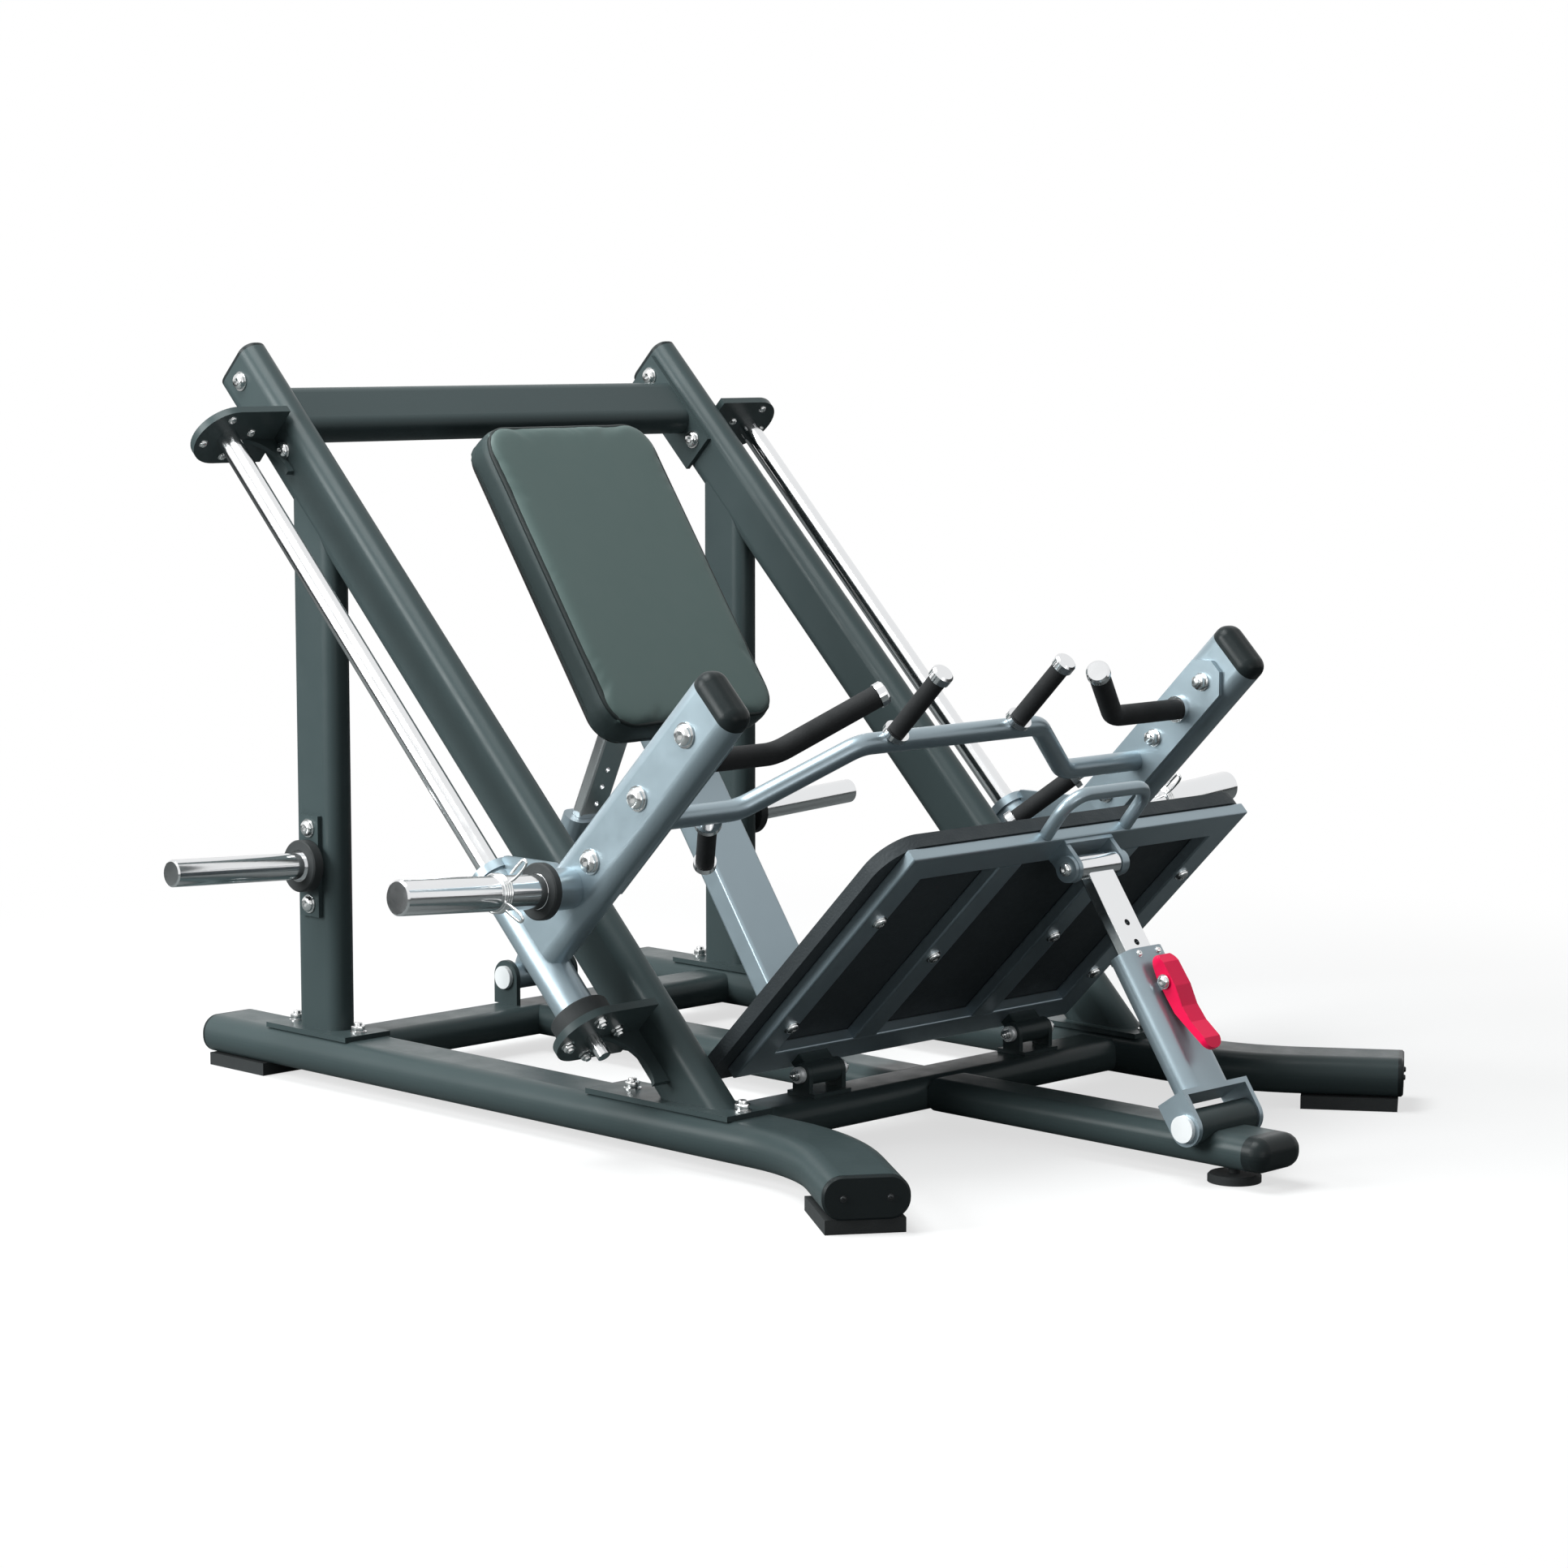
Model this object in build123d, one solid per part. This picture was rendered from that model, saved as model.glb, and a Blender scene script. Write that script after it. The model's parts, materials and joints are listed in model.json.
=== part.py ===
from build123d import *
from math import cos, radians, sin, tan
import os

os.makedirs("parts", exist_ok=True)

# Inclined press machine. Origin on the floor under the middle of the machine,
# +Z up, -Y towards the footplate end, +X across. Millimetres.

# ---------------------------------------------------------------- fits
soft_gap = 0.3        # between neighbours that meet on a curved or moving face
run_gap = 0.05        # radial clearance of a pin or rod in its bore
plug_gap = 0.4        # end-cap plug inside its tube
clip_gap = 0.9        # spring clip's coil round its horn
front_play = 2.8      # radial play of the front adjuster's top eye
rear_play = 1.0       # radial play of the rear adjuster's top eye

# ---------------------------------------------------------------- base
rail_width = 120.0
rail_height = 60.0
rail_corner = 28.0
rail_wall = 3.0
rail_half_spacing = 447.0
rail_rear_y = 894.0
splay_angle = 35.0
splay_radius = 350.0
splay_corner_y = -459.4
splay_length = 255.3
cap_thickness = 8.0
cap_edge = 3.0
plug_depth = 18.0
block_height = 20.0
rear_block_length = 140.0
rear_block_width = 100.0
front_block_length = 147.0
front_block_width = 110.0
cross_width = 100.0
cross_height = 50.0
cross_corner = 23.0
cross_wall = 3.0
front_cross_y = -227.0
rear_cross_y = 645.0
front_tube_end_y = -866.0
front_cap_dome = 36.0
level_foot_y = -817.0
level_foot_diameter = 76.0
level_foot_thickness = 12.0
level_stem_diameter = 16.0
plate_thickness = 8.0

# ---------------------------------------------------------------- uprights and inclined beams
post_y = 650.0
post_plate_length = 200.0
post_plate_width = 90.0
beam_depth = 100.0
beam_width = 50.0
beam_corner = 23.0
beam_wall = 3.0
incline_angle = 45.0
incline_foot_y = -209.0
beam_length = 1479.3
beam_plate_front_y = -303.0
beam_plate_length = 296.0
beam_plate_width = 90.0
top_beam_distance = 1371.8
top_beam_width = 100.0
top_beam_thickness = 50.0
top_plate_length = 200.0
top_plate_width = 75.0
top_plate_offset = -10.5

# ---------------------------------------------------------------- guide rods and their brackets
rod_diameter = 35.0
rod_half_spacing = 565.0
rod_seat_distance = 161.8
rod_top_distance = 1327.0
bumper_diameter = 90.0
bumper_length = 30.0
bracket_thickness = 12.0
bracket_nose = 57.0
bottom_gusset_length = 92.0
bottom_gusset_reach = 78.0
bottom_gusset_foot = 30.0
bottom_gusset_bow = 20.0
top_gusset_length = 70.0
top_gusset_reach = 60.0
top_gusset_foot = 12.0
top_gusset_bow = 14.0
rod_tail_length = 48.0
rod_tail_diameter = 20.0

# ---------------------------------------------------------------- plate storage on the posts
storage_height = 348.0
storage_length = 273.0
storage_diameter = 42.0
storage_tilt = 3.0
storage_plate_width = 47.0
storage_plate_height = 160.0
storage_disc_diameter = 82.0
storage_disc_thickness = 18.0
storage_hub_diameter = 50.0

# ---------------------------------------------------------------- sliding carriage
sleeve_diameter = 60.0
sleeve_below = 120.0
sleeve_above = 142.0
sleeve_ring_diameter = 68.0
sleeve_ring_height = 14.0
arm_depth = 100.0
arm_width = 50.0
arm_corner = 22.0
arm_wall = 3.0
arm_start = 24.0
arm_end = 533.0
arm_cap_length = 27.0
gusset_leg = 92.0
gusset_edge = 16.0
gusset_thickness = 8.0
horn_reach = 138.0
horn_offset = 3.0
horn_boss_diameter = 60.0
horn_boss_length = 46.0
horn_disc_diameter = 82.0
horn_disc_thickness = 12.0
horn_diameter = 50.0
horn_length = 267.65
horn_tilt = 4.0
horn_hub_diameter = 51.2
yoke_plate_start = 165.0
yoke_plate_end = 510.0
yoke_plate_width = 76.0
yoke_plate_chamfer = 26.0
bar_diameter = 32.0
bar_wall = 3.0
bar_side_reach = 282.0
bar_middle_reach = 407.0
bar_side_x = 357.0
bar_middle_x = 195.0
bar_bend = 60.0
grip_middle_x = 135.0
grip_side_x = 415.0
grip_side_angle = 58.3
grip_flange_diameter = 40.0
grip_flange_length = 9.0
grip_middle_start = 15.5
grip_side_start = 22.0
grip_length = 154.0
grip_core_diameter = 22.0
grip_foam_diameter = 28.0
grip_collar_diameter = 34.0
grip_collar_length = 15.0
handle_reach = 408.5
handle_ring_diameter = 42.0
handle_ring_length = 9.0
handle_core_diameter = 25.0
handle_foam_diameter = 33.0
handle_bend = 52.0
handle_bend_x = 371.0
handle_end_x = 233.0
handle_end_reach = 528.0
handle_cap_diameter = 37.0
handle_cap_length = 14.0
clip_reach = 64.9
clip_width = 18.0
clip_diameter = 62.0
clip_lever_length = 46.0
clip_lever_diameter = 9.0

# ---------------------------------------------------------------- footplate
foot_low_y = -190.2
foot_low_z = 109.2
foot_angle = 44.85
foot_length = 501.4
foot_half_width = 368.0
foot_member_width = 50.0
foot_member_depth = 20.0
foot_corner = 3.0
foot_wall = 2.0
foot_rib_x = 130.0
slab_thickness = 22.0
slab_overhang = 28.0
slab_top_overhang = 2.0
slab_corner = 60.0
slab_low_corner = 6.0
hinge_x = 231.0
hinge_y = -229.0
hinge_z = 107.0
hinge_barrel_diameter = 34.0
hinge_barrel_length = 60.0
hinge_pin_diameter = 16.0
hinge_pin_head = 24.0
hinge_pin_head_length = 9.0
hinge_ear_thickness = 8.0
hinge_base_depth = 56.0
hinge_base_thickness = 6.0
hinge_leaf_width = 24.0
loop_half_width = 88.0
loop_rise = 78.0
loop_lean = 9.0
loop_diameter = 20.0
loop_bend = 36.0
front_pin_y = -553.0
front_pin_z = 420.0
front_pin_diameter = 16.0
front_pin_head = 38.4
back_pin_head = 27.2
pin_head_thickness = 7.0
front_base_thickness = 6.0
front_ear_x = 44.0
front_ear_width = 44.0

# ---------------------------------------------------------------- front adjuster
front_pivot_y = -785.0
front_pivot_z = 80.0
pivot_tube_diameter = 48.0
pivot_tube_half = 61.0
pivot_pin_diameter = 20.0
pivot_head_diameter = 38.0
pivot_head_thickness = 7.0
back_pivot_head = 30.4
clevis_half = 64.0
clevis_web_distance = 40.0
clevis_web_thickness = 8.0
clevis_radius = 26.0
adjuster_width = 90.0
adjuster_depth = 45.0
adjuster_corner = 20.0
adjuster_wall = 3.0
front_sleeve_end = 268.0
slide_bar_width = 55.0
slide_bar_depth = 22.0
slide_bar_corner = 4.0
guide_length = 12.0
front_bar_start = 100.0
eye_diameter = 36.0
eye_half = 42.0
hole_diameter = 10.0
hole_pitch = 32.0
hole_first = 21.0
eye_solid_length = 80.0

# ---------------------------------------------------------------- backrest and rear adjuster
back_pivot_y = 35.0
back_pivot_z = 115.0
back_angle = 55.3
back_beam_width = 100.0
back_beam_depth = 40.0
back_beam_corner = 6.0
back_beam_wall = 3.0
back_beam_below_pad = 105.0
back_barrel_diameter = 40.0
back_barrel_half = 55.0
back_lug_radius = 26.0
back_saddle_width = 136.0
back_saddle_length = 96.0
pad_half_width = 184.0
pad_length = 567.0
pad_thickness = 47.0
pad_corner = 52.0
pad_rim = 12.0
pad_start = 499.0
board_thickness = 10.0
board_inset = 6.0
rear_pin_y = 443.0
rear_pin_z = 575.0
rear_pivot_y = 657.0
rear_pivot_z = 120.0
rear_pivot_barrel = 44.0
rear_sleeve_end = 306.0
rear_clevis_x = 60.0
rear_clevis_width = 56.0
rear_bar_start = 120.0
back_lug_x = 44.0
back_lug_width = 50.0

# ---------------------------------------------------------------- locking levers
lever_pivot = 205.0
lever_standoff = 16.0
lever_width = 34.0
lever_length = 158.0
lever_upper = 42.0
lever_wall = 3.5
lever_end_radius = 15.0
lever_pin_diameter = 8.0
lug_thickness = 4.0
lug_nose = 7.0
plunger_drop = 22.0
plunger_diameter = 9.0
plunger_head = 12.0

# ---------------------------------------------------------------- derived positions
rail_top = block_height + rail_height
base_z = block_height + rail_height / 2
cross_top = base_z + cross_height / 2
plate_top = rail_top + plate_thickness
inc_u = Vector(0, cos(radians(incline_angle)), sin(radians(incline_angle)))
inc_n = Vector(0, -sin(radians(incline_angle)), cos(radians(incline_angle)))
inc_base = Vector(0, incline_foot_y, rail_top)
beam_inner = rail_half_spacing - beam_width / 2
beam_outer = rail_half_spacing + beam_width / 2
carriage_distance = rod_seat_distance + bumper_length + soft_gap + sleeve_below
arm_outer = rod_half_spacing + arm_width / 2
arm_inner = rod_half_spacing - arm_width / 2


def on_incline(x, distance, reach=0.0):
    """Point at a distance up the incline and a reach square to it."""
    return inc_base + Vector(x, 0, 0) + inc_u * distance + inc_n * reach


def on_carriage(x, reach, up=0.0):
    """Point in the carriage's plane, square to the guide rods."""
    return on_incline(x, carriage_distance + up, reach)


def section(width, height, corner):
    corner = min(corner, width / 2 - 0.01, height / 2 - 0.01)
    return RectangleRounded(width, height, corner)


def bar(start, end, wide, width, height, corner):
    """Solid bar of rounded rectangular section between two points."""
    plane = Plane(origin=start, x_dir=wide, z_dir=end - start)
    return extrude(plane * section(width, height, corner), (end - start).length)


def box_tube(start, end, wide, width, height, corner, wall):
    """Hollow version of bar, open at both ends."""
    inner = max(corner - wall, 0.5)
    core = bar(start, end, wide, width - 2 * wall, height - 2 * wall, inner)
    return bar(start, end, wide, width, height, corner) - core


def rod(start, end, diameter):
    plane = Plane(origin=start, z_dir=end - start)
    return extrude(plane * Circle(diameter / 2), (end - start).length)


def pipe(start, end, diameter, bore):
    return rod(start, end, diameter) - rod(start, end, bore)


def cap(seat, out, wide, width, height, corner, wall):
    """Moulded end cap: an edge-rounded face and a plug into the tube."""
    face = bar(seat, seat + out * cap_thickness, wide, width, height, corner)
    rim = face.faces().sort_by(Axis(seat, out))[-1].edges()
    face = chamfer(rim, cap_edge)
    less = 2 * (wall + plug_gap)
    inner = max(corner - wall - plug_gap, 0.5)
    plug = bar(seat, seat - out * plug_depth, wide, width - less, height - less, inner)
    return face + plug


def bent(points, radius, diameter, bore=0.0):
    """Round tube along a bent centre line."""
    path = FilletPolyline(*points, radius=radius)
    plane = Plane(origin=path @ 0, z_dir=path % 0)
    ring = Circle(diameter / 2)
    if bore > 0:
        ring = ring - Circle(bore / 2)
    return sweep(plane * ring, path=path)


def ear(pivot, along, x_low, thickness, radius, reach):
    """Round-nosed plate lying across X: nose about the pivot, straight sides along 'along'."""
    plane = Plane(origin=(x_low, pivot.Y, pivot.Z), x_dir=along, z_dir=(1, 0, 0))
    shape = Circle(radius) + Pos(reach / 2, 0) * Rectangle(reach, 2 * radius)
    return extrude(plane * shape, thickness)


def cross_rod(pivot, x_low, x_high, diameter):
    return rod(Vector(x_low, pivot.Y, pivot.Z), Vector(x_high, pivot.Y, pivot.Z), diameter)


def other_side(shape):
    return mirror(shape, Plane.YZ)


def both_sides(shape):
    return Compound(children=[*shape.solids(), *other_side(shape).solids()])


parts = {}
X = Vector(1, 0, 0)
Y = Vector(0, 1, 0)
Z = Vector(0, 0, 1)

# ================================================================= base
rail_corner_point = Vector(rail_half_spacing, splay_corner_y, base_z)
splay = Vector(sin(radians(splay_angle)), -cos(radians(splay_angle)), 0)
splay_side = Vector(cos(radians(splay_angle)), sin(radians(splay_angle)), 0)
rail_end = rail_corner_point + splay * splay_length
rail_start = Vector(rail_half_spacing, rail_rear_y, base_z)
rail_path = FilletPolyline(rail_start, rail_corner_point, rail_end, radius=splay_radius)


def rail_solid(width, height, corner):
    plane = Plane(origin=rail_start, x_dir=X, z_dir=-Y)
    return sweep(plane * section(width, height, corner), path=rail_path)


rail = rail_solid(rail_width, rail_height, rail_corner)
rail_core = rail_solid(
    rail_width - 2 * rail_wall, rail_height - 2 * rail_wall, rail_corner - rail_wall
)
rail_clear = bar(
    Vector(rail_half_spacing, rail_rear_y, base_z),
    Vector(rail_half_spacing, splay_corner_y + 40, base_z),
    X,
    rail_width + 2 * soft_gap,
    rail_height + 2 * soft_gap,
    rail_corner + soft_gap,
)
parts["rail_right"] = rail - rail_core
parts["rail_left"] = other_side(parts["rail_right"])
rear_cap = cap(rail_start, Y, X, rail_width, rail_height, rail_corner, rail_wall)
front_cap = cap(rail_end, splay, splay_side, rail_width, rail_height, rail_corner, rail_wall)
rail_caps = both_sides(Compound(children=[rear_cap, front_cap]))

rear_block = Pos(rail_half_spacing, rail_rear_y - rear_block_length / 2, block_height / 2) * Box(
    rear_block_width, rear_block_length, block_height
)
front_mid = rail_end - splay * (front_block_length / 2)
front_block = Pos(front_mid.X, front_mid.Y, block_height / 2) * Rot(0, 0, splay_angle) * Box(
    front_block_width, front_block_length, block_height
)
parts["foot_blocks"] = both_sides(Compound(children=[rear_block, front_block]))


def cross_tube(y):
    """Cross tube between the rails, coped to their rounded sides."""
    low = Vector(-rail_half_spacing, y, base_z)
    high = Vector(rail_half_spacing, y, base_z)
    tube = box_tube(low, high, Y, cross_width, cross_height, cross_corner, cross_wall)
    tube = tube - rail_clear - other_side(rail_clear)
    return tube.solids().sort_by(SortBy.VOLUME)[-1]


def cross_clear(y, half):
    return bar(
        Vector(-half, y, base_z),
        Vector(half, y, base_z),
        Y,
        cross_width + 2 * soft_gap,
        cross_height + 2 * soft_gap,
        cross_corner + soft_gap,
    )


parts["front_cross_tube"] = cross_tube(front_cross_y)
parts["rear_cross_tube"] = cross_tube(rear_cross_y)
centre = box_tube(
    Vector(0, front_cross_y, base_z),
    Vector(0, rear_cross_y, base_z),
    X,
    cross_width,
    cross_height,
    cross_corner,
    cross_wall,
)
centre = centre - cross_clear(front_cross_y, cross_width) - cross_clear(rear_cross_y, cross_width)
parts["centre_tube"] = centre.solids().sort_by(SortBy.VOLUME)[-1]

# front extension, notched for the adjuster's pivot tube
front_pivot = Vector(0, front_pivot_y, front_pivot_z)
front_root_y = front_cross_y - cross_width / 2
front_root = Vector(0, front_root_y - soft_gap, base_z)
front_end = Vector(0, front_tube_end_y, base_z)
extension = box_tube(
    front_root, front_end, X, cross_width, cross_height, cross_corner, cross_wall
)
notch_tool = cross_rod(
    front_pivot, -cross_width, cross_width, pivot_tube_diameter + 2 * soft_gap
)
parts["front_tube"] = extension - notch_tool
dome = bar(
    front_end, front_end - Y * front_cap_dome, X, cross_width, cross_height, cross_corner
)
dome_rim = dome.faces().sort_by(Axis.Y)[0].edges()
dome = fillet(dome_rim, min(cross_corner - 1.5, front_cap_dome - 2))
dome_less = 2 * (cross_wall + plug_gap)
dome_plug = bar(
    front_end,
    front_end + Y * plug_depth,
    X,
    cross_width - dome_less,
    cross_height - dome_less,
    cross_corner - cross_wall - plug_gap,
)
front_tube_cap = dome + dome_plug
level_base = Vector(0, level_foot_y, 0)
level_disc = rod(level_base, level_base + Z * level_foot_thickness, level_foot_diameter)
level_disc = chamfer(level_disc.edges().group_by(Axis.Z)[-1], 3)
stem_top = base_z - cross_height / 2
level_stem = rod(level_base, level_base + Z * stem_top, level_stem_diameter)
parts["levelling_foot"] = level_disc + level_stem

# ================================================================= posts and inclined beams
beam_start = on_incline(rail_half_spacing, -beam_depth)
beam_end = on_incline(rail_half_spacing, beam_length)
beam = box_tube(beam_start, beam_end, X, beam_width, beam_depth, beam_corner, beam_wall)
beam_top_z = beam_end.Z + beam_depth
above_plate = Pos(rail_half_spacing, beam_end.Y / 2, (plate_top + beam_top_z) / 2) * Box(
    2 * beam_width, 2 * beam_length, beam_top_z - plate_top
)
beam = beam & above_plate
beam_plate = Pos(
    rail_half_spacing, beam_plate_front_y + beam_plate_length / 2, rail_top + plate_thickness / 2
) * Box(beam_plate_width, beam_plate_length, plate_thickness)
parts["beam_right"] = beam + beam_plate
parts["beam_left"] = other_side(parts["beam_right"])
beam_cap = cap(beam_end, inc_u, X, beam_width, beam_depth, beam_corner, beam_wall)
beam_caps = both_sides(beam_cap)
parts["frame_caps"] = Compound(
    children=[*rail_caps.solids(), *beam_caps.solids(), *front_tube_cap.solids()]
)

beam_clear = bar(
    beam_start,
    beam_end,
    X,
    beam_width + 2 * soft_gap,
    beam_depth + 2 * soft_gap,
    beam_corner + soft_gap,
)
post_base = Vector(rail_half_spacing, post_y, plate_top)
post_axis_z = rail_top + (post_y - incline_foot_y) * tan(radians(incline_angle))
post_end = Vector(rail_half_spacing, post_y, post_axis_z)
post = box_tube(post_base, post_end, Y, beam_depth, beam_width, beam_corner, beam_wall)
post = (post - beam_clear).solids().sort_by(SortBy.VOLUME)[-1]
post_plate = Pos(rail_half_spacing, post_y, rail_top + plate_thickness / 2) * Box(
    post_plate_width, post_plate_length, plate_thickness
)
parts["post_right"] = post + post_plate
parts["post_left"] = other_side(parts["post_right"])

top_half = beam_inner - plate_thickness
top_low = on_incline(-top_half, top_beam_distance)
top_high = on_incline(top_half, top_beam_distance)
top_tube = box_tube(
    top_low, top_high, inc_u, top_beam_width, top_beam_thickness, cross_corner, cross_wall
)
end_outline = Rectangle(top_plate_length, top_plate_width)
end_plane = Plane(origin=top_high + inc_n * top_plate_offset, x_dir=inc_u, z_dir=X)
end_plate = extrude(end_plane * end_outline, plate_thickness)
parts["top_cross_beam"] = top_tube + end_plate + other_side(end_plate)

# ================================================================= guide rods
rod_low = on_incline(rod_half_spacing, rod_seat_distance)
rod_high = on_incline(rod_half_spacing, rod_top_distance)
parts["guide_rod_right"] = rod(rod_low, rod_high, rod_diameter) + rod(
    rod_low - inc_u * rod_tail_length, rod_low, rod_tail_diameter
)
parts["guide_rod_left"] = other_side(parts["guide_rod_right"])


def nose_plate(seat, hole=0.0):
    """Plate from the beam's outer face to a round nose about the rod, built down from its seat."""
    plane = Plane(origin=seat, x_dir=X, z_dir=-inc_u)
    run = rod_half_spacing - beam_outer
    shape = Circle(bracket_nose) + Pos(-run / 2, 0) * Rectangle(run, 2 * bracket_nose)
    if hole > 0:
        shape = shape - Circle(hole / 2)
    return extrude(plane * shape, bracket_thickness)


def web(distance, length, reach, foot, bow):
    """Gusset against the beam's outer face, below a nose plate, with a hollow free edge."""
    corner = on_incline(beam_outer, distance, -plate_thickness / 2)
    plane = Plane(origin=corner, x_dir=X, z_dir=-inc_n)
    inward = ((reach + foot) / 2 - bow, length / 2 - bow)
    edge = Edge.make_three_point_arc((reach, 0), inward, (foot, length))
    sides = Polyline((foot, length), (0, length), (0, 0), (reach, 0))
    return extrude(plane * make_face([edge, *sides.edges()]), plate_thickness)


bottom_plate = nose_plate(rod_low, rod_tail_diameter + 2 * run_gap)
bottom_web = web(
    rod_seat_distance - bracket_thickness,
    bottom_gusset_length,
    bottom_gusset_reach,
    bottom_gusset_foot,
    bottom_gusset_bow,
)
parts["rod_bottom_brackets"] = both_sides(bottom_plate + bottom_web)
top_plate = nose_plate(rod_high + inc_u * bracket_thickness)
top_web = web(
    rod_top_distance, top_gusset_length, top_gusset_reach, top_gusset_foot, top_gusset_bow
)
parts["rod_top_brackets"] = both_sides(top_plate + top_web)
bumper = pipe(
    rod_low, rod_low + inc_u * bumper_length, bumper_diameter, rod_diameter + 2 * soft_gap
)
parts["bumpers"] = both_sides(chamfer(bumper.edges().group_by(Axis(rod_low, inc_u))[-1], 2))

# ================================================================= storage horns
storage_seat = Vector(beam_outer, post_y, storage_height)
storage_axis = Vector(cos(radians(storage_tilt)), 0, sin(radians(storage_tilt)))
storage_plane = Plane(origin=storage_seat, x_dir=Y, z_dir=X)
storage_shape = Rectangle(storage_plate_width, storage_plate_height)
parts["storage_plates"] = both_sides(extrude(storage_plane * storage_shape, plate_thickness))
storage_end = storage_seat + storage_axis * storage_length
storage_horn = rod(storage_seat, storage_end, storage_diameter)
storage_horn = chamfer(storage_horn.edges().group_by(Axis.X)[-1], 2.5)
disc_seat = storage_seat + storage_axis * (plate_thickness + storage_disc_diameter * 0.04)
hub_end = disc_seat + storage_axis * storage_disc_thickness
storage_horn = storage_horn + rod(storage_seat, hub_end, storage_hub_diameter)
plate_side = extrude(storage_plane * Circle(storage_disc_diameter), plate_thickness)
plate_side = plate_side + extrude(storage_plane * Circle(storage_disc_diameter), -plate_thickness)
storage_horn = storage_horn - plate_side
parts["storage_horns"] = both_sides(storage_horn)
disc = pipe(
    disc_seat,
    hub_end,
    storage_disc_diameter,
    storage_hub_diameter + 2 * soft_gap,
)
parts["storage_discs"] = both_sides(chamfer(disc.edges().group_by(Axis.X)[-1], 2))

# ================================================================= sliding carriage
sleeve_low = on_carriage(rod_half_spacing, 0, -sleeve_below)
sleeve_high = on_carriage(rod_half_spacing, 0, sleeve_above)
sleeve_bore = rod_diameter + 2 * run_gap
carriage = rod(sleeve_low, sleeve_high, sleeve_diameter)
carriage = carriage + rod(sleeve_high - inc_u * sleeve_ring_height, sleeve_high, sleeve_ring_diameter)
arm_low = on_carriage(rod_half_spacing, arm_start)
arm_high = on_carriage(rod_half_spacing, arm_end)
arm = box_tube(arm_low, arm_high, X, arm_width, arm_depth, arm_corner, arm_wall)
carriage = carriage + arm
gusset_plane = Plane(
    origin=on_carriage(
        rod_half_spacing - gusset_thickness / 2, sleeve_diameter / 2 - 4, arm_depth / 2 - 4
    ),
    x_dir=inc_u,
    z_dir=X,
)
gusset_shape = Polyline(
    (0, 0),
    (gusset_leg, 0),
    (gusset_leg, gusset_edge),
    (gusset_edge, gusset_leg),
    (0, gusset_leg),
    close=True,
)
gusset = extrude(gusset_plane * make_face(gusset_shape), gusset_thickness)
carriage = carriage + gusset
horn_seat = on_carriage(arm_outer, horn_reach, horn_offset)
boss_end = horn_seat + X * horn_boss_length
carriage = carriage + rod(horn_seat - X * arm_wall, boss_end, horn_boss_diameter)
carriage = carriage - rod(sleeve_low - inc_u, sleeve_high + inc_u, sleeve_bore)
parts["carriage_right"] = carriage
parts["carriage_left"] = other_side(carriage)
arm_cap = bar(
    arm_high, arm_high + inc_n * arm_cap_length, X, arm_width, arm_depth, arm_corner
)
arm_rim = arm_cap.faces().sort_by(Axis(arm_high, inc_n))[-1].edges()
arm_cap = fillet(arm_rim, min(arm_cap_length - 4, arm_corner - 2))
arm_less = 2 * (arm_wall + plug_gap)
arm_plug = bar(
    arm_high,
    arm_high - inc_n * plug_depth,
    X,
    arm_width - arm_less,
    arm_depth - arm_less,
    arm_corner - arm_wall - plug_gap,
)
parts["arm_caps"] = both_sides(arm_cap + arm_plug)

horn_axis = X * cos(radians(horn_tilt)) + Z * sin(radians(horn_tilt))
horn_end = boss_end + horn_axis * horn_length
horn = rod(boss_end - horn_axis * 8, horn_end, horn_diameter)
horn = chamfer(horn.edges().group_by(Axis.X)[-1], 2.5)
disc_low = boss_end + horn_axis * (horn_disc_diameter * 0.04)
disc_high = disc_low + horn_axis * horn_disc_thickness
horn = horn + rod(boss_end - horn_axis * 8, disc_high, horn_hub_diameter)
horn = horn - rod(boss_end - X * 12, boss_end, horn_boss_diameter)
parts["carriage_horns"] = both_sides(horn)
horn_disc = pipe(
    disc_low,
    disc_high,
    horn_disc_diameter,
    horn_hub_diameter + 2 * soft_gap,
)
parts["horn_discs"] = both_sides(chamfer(horn_disc.edges().group_by(Axis.X)[-1], 2))

clip_seat = disc_high + horn_axis * clip_reach
clip_far = clip_seat + horn_axis * clip_width
clip = rod(clip_seat, clip_far, clip_diameter)
for side, seat in ((-1, clip_seat + horn_axis * 5), (1, clip_far - horn_axis * 5)):
    swing = radians(90 + 24 * side)
    way = inc_n * sin(swing) + inc_u * cos(swing)
    clip = clip + rod(seat, seat + way * (clip_diameter / 2 + clip_lever_length), clip_lever_diameter)
clip_bore = horn_diameter + 2 * clip_gap
clip = clip - rod(clip_seat - horn_axis * 9, clip_far + horn_axis * 9, clip_bore)
parts["clip_right"] = clip
parts["clip_left"] = other_side(clip)

# yoke: side plates, bent cross bar, grips and side handles, all in the carriage's plane
yoke_plane = Plane(
    origin=on_carriage(arm_inner, (yoke_plate_start + yoke_plate_end) / 2),
    x_dir=inc_n,
    z_dir=-X,
)
yoke_outline = Rectangle(yoke_plate_end - yoke_plate_start, yoke_plate_width)
yoke_corner = yoke_outline.vertices().sort_by(Axis.X)[-2:]
yoke_outline = chamfer(yoke_corner, yoke_plate_chamfer)
yoke_plate = extrude(yoke_plane * yoke_outline, plate_thickness)
parts["yoke_plates"] = both_sides(yoke_plate)
plate_inner = arm_inner - plate_thickness
bar_points = [
    on_carriage(-plate_inner, bar_side_reach),
    on_carriage(-bar_side_x, bar_side_reach),
    on_carriage(-bar_middle_x, bar_middle_reach),
    on_carriage(bar_middle_x, bar_middle_reach),
    on_carriage(bar_side_x, bar_side_reach),
    on_carriage(plate_inner, bar_side_reach),
]
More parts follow.
